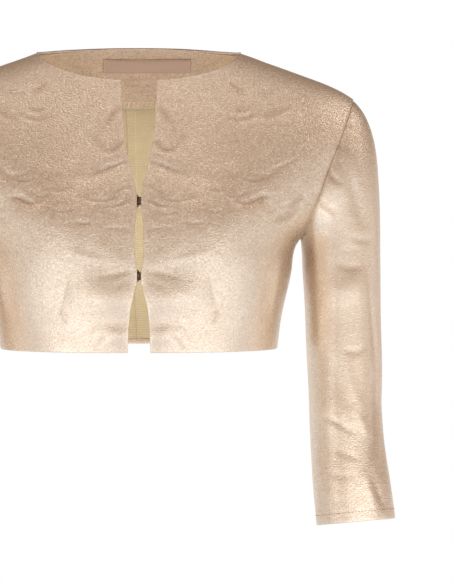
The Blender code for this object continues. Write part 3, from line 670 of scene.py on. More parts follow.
# Slow change of tone over the cloth: two noises of different size
def toneGroup():
    tree, given, out = newGroup("slowTone", {"Vector": None, "Scale": 18.0}, ("Tone",))
    wide = addNoise(tree, given["Vector"], given["Scale"])
    narrow = addNoise(tree, given["Vector"], addMath(tree, "MULTIPLY", given["Scale"], 9.0), 3.0)
    both = addShares(tree, wide, 0.6, narrow, 0.4)
    tone = addNode(tree, "ShaderNodeMapRange", {0: both, 1: 0.35, 2: 0.65})
    tree.links.new(tone.outputs[0], out["Tone"])
    return tree


# Woven ribs: sine of the distance along the cloth for the weft and across it for the warp, with the
# threads bent a little by noise
def weaveGroup():
    inputs = {"Vector": None, "Rib": 0.0016, "Warp": 0.0006}
    tree, given, out = newGroup("wovenRibs", inputs, ("Height", "Shade"))
    noise = addNoise(tree, given["Vector"], 90.0, 3.0)
    shift = addMath(tree, "MULTIPLY", addMath(tree, "SUBTRACT", noise, 0.5), 0.0012)
    split = addNode(tree, "ShaderNodeSeparateXYZ", {0: given["Vector"]}).outputs

    def waves(distance, spacing):
        turns = addMath(tree, "MULTIPLY", addMath(tree, "ADD", distance, shift), 2 * math.pi)
        return addMath(tree, "SINE", addMath(tree, "DIVIDE", turns, spacing))

    both = addShares(tree, waves(split[1], given["Rib"]), 0.35, waves(split[0], given["Warp"]), 0.15)
    height = addMath(tree, "ADD", both, 0.5)
    tree.links.new(height, out["Height"])
    fibre = addNoise(tree, given["Vector"], 1400.0)
    tree.links.new(addShares(tree, height, 0.6, fibre, 0.4), out["Shade"])
    return tree


pebbleGrain, crinkle, edgeWearAndSheen = pebbleGroup(), crinkleGroup(), wearAndSheenGroup()
slowTone, wovenRibs = toneGroup(), weaveGroup()

# shade multiplies the colours, and below 1 it is painted shade. The shares tell how far tone and grain cells
# move pale to deep, and the darks how far crevices, creases and crinkles go towards the crevice colour:
# painted shade in those hollows, in the crevices partly the grain's own darker colour
# The pale edge colour is wear and painted highlight along turned edges
leatherLook = dict(
    pale=(1.0, 0.92, 0.82), deep=(0.81, 0.68, 0.555), creviceShade=(0.50, 0.35, 0.25), wornAndSheen=(0.98, 0.90, 0.80),
    shade=1.0, cells=620.0, stretch=1.35, crinkleScale=58.0, toneScale=16.0, wearAndSheen=0.55,
    toneShare=0.30, flakeShare=0.6, baseShare=0.35, creviceDark=0.36, creaseShadeDark=0.46, crinkleShadeDark=0.25,
    metallic=0.92, roughness=0.30, grainDepth=0.00046, crinkleDepth=0.00016,
)
# The leather seen inside is duller, so that it doesn't mirror the lining, and darker and warmer as painted
# shade
insideShadedLook = dict(
    leatherLook, metallic=0.72, roughness=0.38, shade=0.93,
    pale=(1.0, 0.86, 0.71), deep=(0.84, 0.64, 0.47), wornAndSheen=(1.0, 0.92, 0.82),
)


# Metallic leather: pale to deep by slow tone and by cell, darker in the crevices, creases and crinkles as
# painted shade (in the crevices also the grain's own colour), paler at the edges as wear and painted
# highlight
def leatherMaterial(name, look):
    made, tree, shader = newMaterial(name)
    place, strength = objectPlace(tree), readMark(tree, "grain")
    pale, deep, dark, wornAndSheen = (
        tuple(part * look["shade"] for part in look[key]) for key in ("pale", "deep", "creviceShade", "wornAndSheen")
    )
    longer = addNode(tree, "ShaderNodeMapping", {"Vector": place, "Scale": (1.0, 1.0, look["stretch"])})
    grain = placeGroup(tree, pebbleGrain, {"Vector": longer.outputs[0], "Cells": look["cells"]})
    creased, edge = readMark(tree, "creased"), readMark(tree, "edge")
    lines = placeGroup(tree, crinkle, {"Vector": place, "Scale": look["crinkleScale"], "Mask": creased})
    tone = placeGroup(tree, slowTone, {"Vector": place, "Scale": look["toneScale"]})
    wearAndSheen = placeGroup(tree, edgeWearAndSheen, {"Vector": place, "Edge": edge, "Amount": look["wearAndSheen"]})
    flake = addMath(tree, "MULTIPLY", addMath(tree, "SUBTRACT", grain["Flake"], 0.5), strength)
    flake = addMath(tree, "MULTIPLY_ADD", flake, look["flakeShare"], look["baseShare"])
    slow = addMath(tree, "MULTIPLY", tone["Tone"], look["toneShare"])
    share = addMath(tree, "ADD", slow, flake, clamp=True)
    colour = mixColours(tree, share, pale, deep)
    # Painted shade: the grain's crevices, the bottoms of narrow creases and the crinkle lines go towards the
    # dark colour
    for mark, amount in (
        (grain["Crevice"], addMath(tree, "MULTIPLY", strength, look["creviceDark"])),
        (readMark(tree, "fold"), look["creaseShadeDark"]),
        (lines["Line"], look["crinkleShadeDark"]),
    ):
        colour = mixColours(tree, addMath(tree, "MULTIPLY", mark, amount), colour, dark)
    # Paler at the edges: rubbed wear and painted highlight
    colour = mixColours(tree, wearAndSheen["WornAndSheen"], colour, wornAndSheen)
    tree.links.new(colour, shader.inputs["Base Color"])
    rough = addShares(tree, grain["Crevice"], 0.12, grain["Flake"], 0.10)
    rough = addMath(tree, "ADD", rough, look["roughness"] - 0.05)
    tree.links.new(rough, shader.inputs["Roughness"])
    shader.inputs["Metallic"].default_value = look["metallic"]
    pebbles = addBump(tree, addMath(tree, "MULTIPLY", grain["Height"], strength), look["grainDepth"])
    crinkled = addBump(tree, lines["Height"], look["crinkleDepth"], Normal=pebbles)
    tree.links.new(crinkled, shader.inputs["Normal"])
    return made


# shade is the colour of the painted shadow under the facing
liningLook = dict(
    pale=(0.74, 0.62, 0.40), deep=(0.44, 0.355, 0.205), shade=(0.20, 0.145, 0.075),
    rib=0.0017, warp=0.0008, toneScale=14.0, roughness=0.62, sheen=0.15, depth=0.0003,
)


# Plain woven lining: two tones by rib and fibre, a slow change of tone, a painted shadow where it tucks in
# under the facing, and the ribs as bump
def liningMaterial(name, look):
    made, tree, shader = newMaterial(name)
    threads = {"Vector": clothPlane(tree), "Rib": look["rib"], "Warp": look["warp"]}
    weave = placeGroup(tree, wovenRibs, threads)
    tone = placeGroup(tree, slowTone, {"Vector": objectPlace(tree), "Scale": look["toneScale"]})
    share = addShares(tree, weave["Shade"], 0.75, tone["Tone"], 0.25, clamp=True)
    colour = mixColours(tree, share, look["deep"], look["pale"])
    # Painted shadow where the lining tucks under the facing's foot
    colour = mixColours(tree, readMark(tree, "tuck"), colour, look["shade"])
    tree.links.new(colour, shader.inputs["Base Color"])
    shader.inputs["Roughness"].default_value = look["roughness"]
    shader.inputs["Sheen Weight"].default_value = look["sheen"]
    tree.links.new(addBump(tree, weave["Height"], look["depth"], 0.7), shader.inputs["Normal"])
    return made


# Thread: twisted plies as a fine wave, two tones
def threadMaterial(name, pale, deep):
    made, tree, shader = newMaterial(name)
    place = objectPlace(tree)
    wave = {"Vector": place, "Scale": 900.0, "Distortion": 1.5, "Detail": 1.0}
    twist = addNode(tree, "ShaderNodeTexWave", wave, bands_direction="DIAGONAL").outputs["Fac"]
    tone = placeGroup(tree, slowTone, {"Vector": place, "Scale": 60.0})
    share = addShares(tree, twist, 0.6, tone["Tone"], 0.4)
    tree.links.new(mixColours(tree, share, deep, pale), shader.inputs["Base Color"])
    shader.inputs["Roughness"].default_value = 0.6
    tree.links.new(addBump(tree, twist, 0.0001, 0.6), shader.inputs["Normal"])
    return made


# Satin label: fine warp lines over two close tones, left bare
def labelMaterial(name, pale, deep):
    made, tree, shader = newMaterial(name)
    weave = placeGroup(tree, wovenRibs, {"Vector": clothPlane(tree), "Rib": 0.0007, "Warp": 0.0011})
    tree.links.new(mixColours(tree, weave["Shade"], deep, pale), shader.inputs["Base Color"])
    shader.inputs["Roughness"].default_value = 0.5
    shader.inputs["Sheen Weight"].default_value = 0.2
    tree.links.new(addBump(tree, weave["Height"], 0.00015, 0.5), shader.inputs["Normal"])
    return made


# Hook metal: dark bronze plating with pale rubbed patches and fine scratches
def hookMaterial(name, pale, deep):
    made, tree, shader = newMaterial(name)
    place = objectPlace(tree)
    stretched = addNode(tree, "ShaderNodeMapping", {"Vector": place, "Scale": (1.0, 1.0, 9.0)})
    scratch = addNoise(tree, stretched.outputs[0], 700.0, 3.0)
    rubbed = addNode(tree, "ShaderNodeMapRange", {0: addNoise(tree, place, 420.0), 1: 0.48, 2: 0.68})
    tree.links.new(mixColours(tree, rubbed.outputs[0], deep, pale), shader.inputs["Base Color"])
    rough = addMath(tree, "ADD", 0.24, addMath(tree, "MULTIPLY", scratch, 0.25))
    tree.links.new(rough, shader.inputs["Roughness"])
    shader.inputs["Metallic"].default_value = 1.0
    tree.links.new(addBump(tree, scratch, 0.00005, 0.3), shader.inputs["Normal"])
    return made


champagne = leatherMaterial("champagneLeather", leatherLook)
# Inside leather: the same leather painted darker and warmer as shade
champagneShadedInside = leatherMaterial("facingLeather", insideShadedLook)
liningCloth = liningMaterial("liningCloth", liningLook)
labelCloth = labelMaterial("labelSatin", pale=(0.60, 0.43, 0.33), deep=(0.42, 0.29, 0.215))
paleThread = threadMaterial("paleThread", pale=(0.98, 0.85, 0.66), deep=(0.84, 0.68, 0.50))
darkThread = threadMaterial("darkThread", pale=(0.34, 0.20, 0.12), deep=(0.20, 0.11, 0.07))
seamThread = threadMaterial("seamThread", pale=(0.40, 0.26, 0.18), deep=(0.24, 0.15, 0.10))
hookMetal = hookMaterial("hookBronze", pale=(0.40, 0.30, 0.22), deep=(0.10, 0.062, 0.042))
print("materials made")


def finishPiece(piece, slotName, *nodes):
    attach(piece, "root")
    if nodes:
        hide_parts(*nodes)
    return piece


# Marks for the leather: edge is e to the minus distance / 1.5 mm, creased is a bell over the height
# plus random hills, and grain is read from the table by height
def leatherMarks(edgeDistance, points, look):
    middle, reach, amount = look["crinkled"]
    band = np.exp(-(((points[..., 2] - middle) / reach) ** 2))
    patches = randomHills(points[..., 0] / 0.03 + 3, points[..., 2] / 0.022 + 5, 51)
    return {
        "edge": np.exp(-edgeDistance / 0.0015),
        "creased": np.clip(0.05 + amount * band + 0.3 * patches, 0, 1),
        "grain": np.interp(points[..., 2], *np.transpose(look["grain"])),
    }


# Fronts
frontRows = bodiceRows(cloth["firstRing"], cloth["lastRing"])
armholeRows = (frontRows > cloth["underarmRing"] - 1e-9) & (frontRows < cloth["shoulderRing"] + 1e-9)


# Turns the raw edge of the armhole towards the armhole's centre, so that the walls meet the sleeve
def turnArmhole(outer, inner, column):
    edge = outer[armholeRows, column]
    inner[armholeRows, column] = edge + towardsArmhole(edge) * cloth["leatherWall"]


def makeFronts():
    edgeX = lambda p: p[..., 0] - gapHalfWidth(p[..., 2]) - cloth["edgeRoll"]
    first = ringCrossing(-1, frontRows, edgeX)
    last = sideLimit(-1, frontRows)
    across = np.linspace(0, 1, fronts["columns"])
    t = first[:, None] + (1 - first)[:, None] * across - (1 - last)[:, None] * across ** cloth["edgePull"]
    rings = frontRows[:, None] + 0 * t
    outer = clothLayer(-1, t, rings, 0.0, frontRelief)
    inner = clothLayer(-1, t, rings, cloth["leatherWall"], frontRelief)
    outwards = bodiceOutward(-1, t, rings)
    fromEdge, fromHem = walked(outer, 1), walked(outer, 0)
    fromSeam, fromNeck = fromEdge[:, -1:] - fromEdge, fromHem[-1:] - fromHem
    outer, inner = sinkSeams(outer, outwards, fromSeam), sinkSeams(inner, outwards, fromSeam)
    turnArmhole(outer, inner, -1)
    marks = leatherMarks(np.minimum(np.minimum(fromEdge, fromHem), fromNeck), outer, fronts)
    marks["fold"] = creaseShadeMark(np.abs(outer[..., 0]), outer[..., 2], fronts["creases"])
    near = (np.minimum(fromEdge, fromNeck) < fronts["facingBand"]) | (fromHem < fronts["turnIn"])
    lined = np.where(near[:-1, :-1], 1, 2)
    roll, looks = cloth["edgeRoll"], [champagne, champagneShadedInside, liningCloth]
    rolls = (roll, cloth["seamRoll"], roll, roll)
    for side, piece in wallPair("leather_front_", outer, inner, rolls, looks, lined, marks):
        finishPiece(piece, "leather", "front_" + side)
    return outer[armholeRows, -1], outer, outwards


frontArmhole, frontOuter, frontOutwards = makeFronts()
print("fronts made")


# Back panel, whose columns run from the right armhole to the left one
def makeBack():
    last = sideLimit(1, frontRows)
    share = np.linspace(-1, 1, back["columns"] + 1)
    t = share - (1 - last)[:, None] * np.sign(share) * np.abs(share) ** cloth["edgePull"]
    rings = frontRows[:, None] + 0 * t
    outer = clothLayer(1, t, rings, 0.0, backRelief)
    inner = clothLayer(1, t, rings, cloth["leatherWall"], backRelief)
    outwards = toSide(t, bodiceOutward(1, np.abs(t), rings))
    fromFirst, fromHem = walked(outer, 1), walked(outer, 0)
    fromSeam = np.minimum(fromFirst, fromFirst[:, -1:] - fromFirst)
    fromNeck = fromHem[-1:] - fromHem
    outer, inner = sinkSeams(outer, outwards, fromSeam), sinkSeams(inner, outwards, fromSeam)
    turnArmhole(outer, inner, -1)
    turnArmhole(outer, inner, 0)
    marks = leatherMarks(np.minimum(fromHem, fromNeck), outer, back)
    marks["fold"] = creaseShadeMark(outer[..., 0], outer[..., 2], back["creases"])
    rolls, looks = (cloth["edgeRoll"], cloth["seamRoll"]) * 2, [champagne, champagneShadedInside]
    piece = clothWall("leather_back", outer, inner, rolls, looks, 1, marks, flip=True)
    finishPiece(piece, "leather", "back")
    return outer[armholeRows, -1], outer, outwards


backArmhole, backOuter, backOutwards = makeBack()
print("back made")

sleeves = dict(
    rings=[     # outer x z, inner x z, middle y, depth, lift of the front
        [0.2000, -0.0430, 0.1502, -0.1730, 0.004, 0.104, 0.000],
        [0.2102, -0.0560, 0.1511, -0.1757, 0.004, 0.106, 0.000],
        [0.2176, -0.0745, 0.1513, -0.1778, 0.004, 0.108, 0.000],
        [0.2215, -0.0960, 0.1513, -0.1800, 0.004, 0.109, 0.000],
        [0.2236, -0.1240, 0.1516, -0.1845, 0.004, 0.109, 0.000],
        [0.2246, -0.1570, 0.1521, -0.1925, 0.004, 0.108, 0.000],
        [0.2248, -0.1910, 0.1528, -0.2060, 0.004, 0.107, 0.001],
        [0.2248, -0.2290, 0.1547, -0.2350, 0.003, 0.104, 0.001],
        [0.2249, -0.2670, 0.1558, -0.2700, 0.001, 0.101, 0.001],
        [0.2248, -0.3040, 0.1575, -0.3060, -0.002, 0.098, 0.001],
        [0.2242, -0.3270, 0.1583, -0.3300, -0.005, 0.096, 0.002],
        [0.2264, -0.3570, 0.1597, -0.3610, -0.009, 0.094, 0.003],
        [0.2318, -0.3940, 0.1614, -0.3990, -0.015, 0.091, 0.004],
        [0.2366, -0.4315, 0.1642, -0.4380, -0.021, 0.088, 0.005],
    ],
    rows=200, rowPower=1.15, squareness=2.25, blend=4.5,
    longCrease=[(2, 62), (4, 50), (6, 41), (7, 32), (8, 22), (9, 9), (10, 7), (11, 24), (12, 38), (13, 42)],
    creaseRise=0.0016, creaseAngle=15.0, radius=0.045,
    # Creases of the front half in millimetres, as on the fronts
    frontCreases=[
        (186.6, -91.9, 196.8, -131.6, 205.1, -164.6, 5.0, -1.60),
        (178.1, -100.7, 185.4, -141.8, 194.5, -182.9, 9.0, 1.00),
        (211.5, -193.9, 217.1, -256.0, 220.6, -290.7, 2.8, 1.20),
        (207.8, -193.9, 213.3, -256.0, 216.0, -294.3, 4.0, -0.70),
        (220.6, -288.9, 220.4, -329.0, 219.0, -382.0, 2.8, 1.10),
        (216.5, -288.9, 215.5, -329.0, 214.2, -376.5, 4.0, -0.60),
        (167.1, -220.4, 188.1, -219.4, 211.0, -214.0, 13.0, 1.40),
        (174.4, -188.4, 170.8, -256.0, 167.1, -323.6, 6.0, -0.80),
        (158.9, -141.8, 161.7, -173.8, 163.5, -210.3, 4.0, 0.70),
        (168.0, -336.3, 181.7, -341.8, 198.2, -352.8, 2.6, -0.70),
        (178.1, -364.7, 189.1, -370.1, 200.9, -373.3, 2.4, -0.55),
        (194.5, -323.6, 204.6, -341.8, 214.6, -357.4, 4.5, 0.60),
        (189.1, -276.1, 195.4, -308.9, 205.5, -330.9, 5.0, 0.60),
        (181.7, -283.4, 186.3, -312.6, 194.5, -338.2, 5.0, -0.70),
        (211.0, -387.5, 217.4, -405.8, 223.8, -421.3, 4.0, -0.90),
        (203.7, -382.0, 210.1, -400.3, 216.5, -418.5, 4.5, 0.70),
        (170.8, -383.8, 181.7, -389.3, 194.5, -388.4, 2.6, -0.50),
        (167.1, -402.1, 178.1, -406.7, 188.1, -405.8, 2.6, 0.45),
        (186.3, -272.4, 198.2, -276.1, 211.0, -270.6, 3.0, -0.50),
        (180.8, -63.3, 187.2, -67.8, 197.4, -71.5, 2.6, -0.85),
        (175.4, -82.4, 181.7, -88.8, 192.0, -93.4, 2.6, -0.85),
        (168.0, -107.0, 176.3, -117.2, 186.5, -123.6, 2.8, -0.95),
        (160.7, -132.6, 169.0, -143.6, 180.1, -151.0, 2.8, -0.95),
        (188.1, -42.3, 194.5, -45.9, 204.8, -53.2, 2.6, -0.70),
        (192.7, -170.1, 203.7, -174.7, 214.6, -173.8, 3.0, -0.50),
        (179.9, -193.9, 192.7, -199.4, 209.1, -195.7, 4.0, -0.50),
        (220.1, -109.8, 224.7, -137.2, 225.6, -170.1, 4.0, -0.50),
    ],
    # The hidden half has similar ones at other places
    backCreases=[
        (190, -88, 198, -120, 203, -158, 5.0, -1.40), (176, -112, 186, -150, 190, -190, 8.0, 0.90),
        (172, -214, 192, -222, 214, -217, 8.0, -1.10), (168, -236, 190, -244, 215, -238, 9.0, 1.20),
        (176, -258, 196, -252, 216, -262, 5.0, -0.80), (170, -300, 184, -292, 202, -303, 5.0, 0.70),
        (178, -330, 192, -342, 214, -338, 3.0, -0.60), (204, -356, 214, -384, 224, -402, 5.0, -0.80),
        (172, -352, 176, -384, 174, -418, 5.0, 0.70), (188, -382, 200, -392, 220, -388, 2.8, -0.50),
        (172, -132, 182, -142, 196, -140, 2.6, -0.50), (196, -66, 204, -84, 206, -104, 3.0, -0.50),
        (210, -180, 218, -208, 219, -244, 4.0, -0.60), (166, -166, 178, -176, 196, -172, 2.8, -0.50),
        (180, -404, 196, -411, 214, -404, 2.8, -0.45), (190, -280, 206, -287, 220, -280, 2.6, -0.50),
    ],
    wavesHeight=0.0004, crumpleHeight=0.00008, turnIn=0.028, topstitch=0.0082,
    crinkled=(-0.39, 0.06, 0.40),
    grain=[(-0.44, 0.65), (-0.36, 0.50), (-0.30, 0.36), (-0.17, 0.36), (-0.12, 0.60), (-0.08, 1.0)],
)


# Sleeve ring: half sizes times the sign and power of cos and sin of the angle, which squares the
# oval a little, grown by the long crease. Angle 0 is away from the body, a quarter turn is the front
def sleeveRing(ring, angle):
    s = np.moveaxis(splineRows(sleeves["rings"], ring), -1, 0)
    out, front = np.cos(angle), np.sin(angle)
    power = 2 / sleeves["squareness"]
    outShare, frontShare = np.sign(out) * np.abs(out) ** power, np.sign(front) * np.abs(front) ** power
    table = np.array(sleeves["longCrease"], float)
    centre = np.interp(ring, table[:, 0], splineRows(table, np.arange(10.0))[:, 1])
    strength = sleeves["creaseRise"] * np.clip((ring - 1) / 3, 0, 1)
    bell = np.exp(-(((np.degrees(angle) - centre) / sleeves["creaseAngle"]) ** 2))
    grow = 1 + strength / sleeves["radius"] * bell
    x = (s[0] + s[2]) / 2 + (s[0] - s[2]) / 2 * outShare * grow
    y = s[4] - s[5] / 2 * frontShare * grow
    z = (s[1] + s[3]) / 2 + (s[1] - s[3]) / 2 * outShare + s[6] * frontShare
    return np.stack([x, y, z], -1)


# Direction square to a grid that closes round its columns
def tubeOutward(points):
    around = np.roll(points, -1, axis=1) - np.roll(points, 1, axis=1)
    return unit(np.cross(around, np.gradient(points, axis=0)))


# Relief of a sleeve: creases of the front and of the hidden half, each faded to nothing along the
# outer and inner sides, soft waves, and crumpling
def sleeveRelief(points, frontness):
    x, z = points[..., 0], points[..., 2]
    near = np.clip(frontness / 0.35, 0, 1)
    far = np.clip(-frontness / 0.35, 0, 1)
    u = x + np.where(frontness < 0, 0.3, 0.0)
    ends = np.clip(np.abs(frontness) / 0.3, 0, 1)
    return (
        creaseRelief(x, z, sleeves["frontCreases"]) * near * near * (3 - 2 * near)
        + creaseRelief(x, z, sleeves["backCreases"]) * far * far * (3 - 2 * far)
        + sleeves["wavesHeight"] * randomHills(points[..., 1] / 0.03 + 9, z / 0.036, 61)
        + sleeves["crumpleHeight"] * ends * (crumple(u, z, 71) - 0.2)
    )


def makeSleeves():
    # The loop runs from the shoulder tip down the front to the underarm and up the back
    loop = np.concatenate([frontArmhole[::-1], backArmhole[1:-1]])
    half = len(frontArmhole) - 1
    tip, pit = (frontArmhole[-1] + backArmhole[-1]) / 2, (frontArmhole[0] + backArmhole[0]) / 2
    loop[0], loop[half] = tip, pit
    away = unit(np.cross(np.array([0.0, 1, 0]), tip - pit))
    low, high = bodiceRings[3, 2], bodiceRings[6, 2]
    share = np.clip((loop[:, 2] - low) / (high - low), 0, 1)
    angle = np.where(np.arange(len(loop)) <= half, 1, -1) * np.arccos(2 * share - 1)
    ringAt = (len(sleeves["rings"]) - 1) * np.linspace(0, 1, sleeves["rows"]) ** sleeves["rowPower"]
    ringAt[-1] -= 0.02
    fade = np.clip(1 - ringAt / sleeves["blend"], 0, 1)
    fade = (fade * fade * (3 - 2 * fade))[:, None, None]
    outer = sleeveRing(ringAt[:, None], angle[None]) + fade * (loop - sleeveRing(np.zeros_like(angle), angle))
    outer = outer + away * cloth["seamGap"] * np.clip(1 - ringAt, 0, 1)[:, None, None]
    outwards = tubeOutward(outer)
    fromSeam = walked(outer, 0)
    lift = sleeveRelief(outer, np.sin(angle)[None] + 0 * ringAt[:, None]) * np.clip(fromSeam / 0.006, 0, 1)
    dip = cloth["seamDip"] * (np.exp(-((fromSeam / cloth["seamReach"]) ** 2)) - (fromSeam == 0))
    outer = outer + outwards * (lift - dip)[..., None]
    inner = outer - outwards * cloth["leatherWall"]
    inner[0] = outer[0] + towardsArmhole(loop) * cloth["leatherWall"]
    fromCuff = fromSeam[-1:] - fromSeam
    marks = leatherMarks(fromCuff, outer, sleeves)
    x, z, front = outer[..., 0], outer[..., 2], np.sin(angle)[None] > 0.3
    marks["fold"] = np.where(front, creaseShadeMark(x, z, sleeves["frontCreases"]), 0)
    lined = np.where((fromCuff < sleeves["turnIn"])[:-1], 1, 2)
    rolls, looks = (cloth["seamRoll"], 0, cloth["edgeRoll"], 0), [champagne, champagneShadedInside, liningCloth]
    for side, piece in wallPair("leather_sleeve_", outer, inner, rolls, looks, lined, marks, closed=True):
        finishPiece(piece, "leather", "sleeve_" + side)
    return outer, tubeOutward(outer), fromCuff, loop


sleeveOuter, sleeveOutwards, fromCuff, armholeLoop = makeSleeves()
print("sleeves made")

facing = dict(
    columns=200, rows=34, depthCentre=1.705, depthShoulder=0.95, width=0.985, neckDrop=0.015,
    footGap=0.0036, layerGap=0.0003, edgeSwell=0.0016, swellRings=0.26,
    rolls=(0.0003, 0.0002, 0.0005, 0.0002), crinkled=(-0.02, 0.05, 0.5), grain=[(-0.1, 1.3), (0.1, 1.3)],
    # Wrinkles seen on the visible side, in millimetres
    creases=[
        (-18, -20.5, -2, -21.5, 16, -20.0, 1.5, -0.45), (-14, -26.0, 2, -27.2, 20, -25.0, 1.5, -0.40),
        (-34, -22.0, -24, -24.5, -14, -23.0, 1.6, -0.40), (22, -21.5, 34, -23.5, 48, -19.0, 1.6, -0.40),
        (-60, -14.0, -48, -17.0, -36, -15.0, 2.0, -0.50), (50, -14.0, 60, -11.0, 70, -6.0, 2.0, -0.50),
        (-6, -31.0, 6, -32.5, 22, -30.5, 1.6, -0.35), (-70, -5.0, -62, -10.0, -50, -12.0, 2.4, -0.50),
    ],
)


# Ring number of the facing's lower edge: deep at the centre, narrow at the shoulders, by 3t^2 - 2t^3
def facingFoot(t):
    share = np.abs(t) ** 2 * (3 - 2 * np.abs(t))
    centre, shoulder = facing["depthCentre"], facing["depthShoulder"]
    return cloth["neckRing"] - centre + (centre - shoulder) * share


# Depth of the facing's near side below the back's outer side: it stands furthest off along its foot
def facingClear(ring, foot):
    share = (ring - foot) / (cloth["neckRing"] - facing["neckDrop"] - foot)
    return cloth["leatherWall"] + facing["footGap"] + (facing["layerGap"] - facing["footGap"]) * share


# Depth of its visible side: the wall, and a swell of 1 - (1 - way below the neckline)^1.25 that
# turns its top edge up to the light
def facingDepth(ring, foot):
    way = np.clip((cloth["neckRing"] - ring) / facing["swellRings"], 0, 1)
    swell = facing["edgeSwell"] * (1 - (1 - way) ** 1.25)
    return facingClear(ring, foot) + cloth["facingWall"] + swell


def makeFacing():
    across = np.linspace(-1, 1, facing["columns"] + 1) * facing["width"]
    foot = facingFoot(across)
    share = np.linspace(0, 1, facing["rows"])[:, None]
    ring = foot + (cloth["neckRing"] - facing["neckDrop"] - foot) * share
    t = np.broadcast_to(across, ring.shape)
    near = clothLayer(1, t, ring, facingClear(ring, foot), backRelief)
    # The visible side only comes forward from the near side, so the wrinkles thicken it
    lumps = np.clip(-creaseRelief(near[..., 0], near[..., 2], facing["creases"]), 0, None)
    far = clothLayer(1, t, ring, facingDepth(ring, foot) + lumps, backRelief)
    fromFoot = walked(near, 0)
    # A wide pale band along the top as painted highlight, a narrow pale edge along the foot as wear and
    # painted highlight
    marks = leatherMarks(np.minimum(fromFoot, (fromFoot[-1:] - fromFoot) / 5), far, facing)
    marks["fold"] = creaseShadeMark(far[..., 0], far[..., 2], facing["creases"])
    rolls, looks = facing["rolls"], [champagneShadedInside]
    piece = clothWall("neck_facing_leather", near, far, rolls, looks, 0, marks, flip=True)
    finishPiece(piece, "facing", "neck_facing")


makeFacing()
print("facing made")

lining = dict(
    hemRing=0.15, fanRing=5.5, fanRows=26, side=0.950, tuck=0.16, gap=0.0008, columns=150,
    pleatTop=(-0.0125, -0.050), pleatFoot=(-0.0023, -0.268), pleatRise=0.0020, pleatWidth=0.010,
    pleatSides=(-0.035, -0.02), pleatShares=(-0.034, -0.033, -0.032),       # columns at the fold
    pleatSteps=(0.0, 0.0008, 0.0020),       # how far past the pleat line those three stand, in t
    rolls=(0.0003, 0.0002, 0.0002, 0.0002),
    # Painted shadow on the lining under the facing's foot: its darkness and reach
    ringHeight=0.034, paintedShadowAmount=0.8, paintedShadowReach=0.0017,       # shade under the facing's foot
)


def pleatLine(z):
    (topX, topZ), (footX, footZ) = lining["pleatTop"], lining["pleatFoot"]
    return topX + (footX - topX) * (z - topZ) / (footZ - topZ)


# Back lining: follows the back's rings from the hem, then fans out to the facing. Past the pleat line
# it stands proud by a bell, so the pleat folds over in a sharp step
def makeLining():
    rows = frontRows[(frontRows > lining["hemRing"] + 0.04) & (frontRows < lining["fanRing"])]
    level = np.concatenate([[lining["hemRing"]], rows])
    pleatAt = lining["columns"] // 2
    leftEnd, rightStart = lining["pleatSides"]
    left = np.linspace(-lining["side"], leftEnd, pleatAt)
    right = np.linspace(rightStart, lining["side"], pleatAt + 4)
    share = np.concatenate([left, lining["pleatShares"], right])
    top = facingFoot(share) + lining["tuck"]
    fan = np.linspace(0, 1, lining["fanRows"] + 1)[1:, None]
    straight = np.broadcast_to(level[:, None], (level.size, top.size))
    ring = np.concatenate([straight, level[-1] + (top - level[-1]) * fan])
    t = share - (1 - sideLimit(1, ring)) * np.sign(share) * np.abs(share) ** cloth["edgePull"]
    pleat = -ringCrossing(1, ring[:, pleatAt], lambda p: p[..., 0] + pleatLine(p[..., 2]))
    # Columns left of the pleat are stretched to end on it, those right of it to start there
    leftShare = (share[:pleatAt] - share[0]) / (share[pleatAt] - share[0])
    t[:, :pleatAt] = t[:, :1] + (pleat[:, None] - t[:, :1]) * leftShare
    t[:, pleatAt:pleatAt + 3] = pleat[:, None] + np.array(lining["pleatSteps"])
    rightShare = (share[pleatAt + 3:] - share[pleatAt + 2]) / (share[-1] - share[pleatAt + 2])
    start = t[:, pleatAt + 2:pleatAt + 3]
    t[:, pleatAt + 3:] = start + (t[:, -1:] - start) * rightShare
    x, _, z = np.moveaxis(toSide(t, bodice(1, np.abs(t), ring)), -1, 0)
    past = np.clip((x - pleatLine(z)) / lining["pleatWidth"], 0, None)
    rise = lining["pleatRise"] * np.exp(-(past**2))
    rise[:, : pleatAt + 1] = 0
    soft = 0.0005 * np.clip(randomHills(x / 0.05, z / 0.16 + 4, 81), -0.2, 1)
    depth = cloth["leatherWall"] + lining["gap"] + rise
    near = clothLayer(1, t, ring, depth, backRelief)
    far = clothLayer(1, t, ring, depth + cloth["liningWall"] + 0.2 * soft, backRelief)
    # Painted shadow: the tuck mark darkens the lining just below the facing's foot
    below = np.clip((facingFoot(t) - ring) * lining["ringHeight"], 0, None)
    marks = {"tuck": lining["paintedShadowAmount"] * np.exp(-below / lining["paintedShadowReach"])}
    piece = clothWall("back_lining_cloth", near, far, lining["rolls"], [liningCloth], 0, marks, flip=True)
    finishPiece(piece, "lining", "back_lining")
    return far


liningFar = makeLining()
print("lining made")

label = dict(
    left=-0.0335, right=0.0490, top=-0.0030, foot=-0.0150, columns=66, rows=12, inset=0.0009, roll=0.0002,
    swell=0.0003,
)


def labelDepth(ring):
    return facingDepth(ring, facingFoot(0.0)) + 2 * facing["layerGap"]


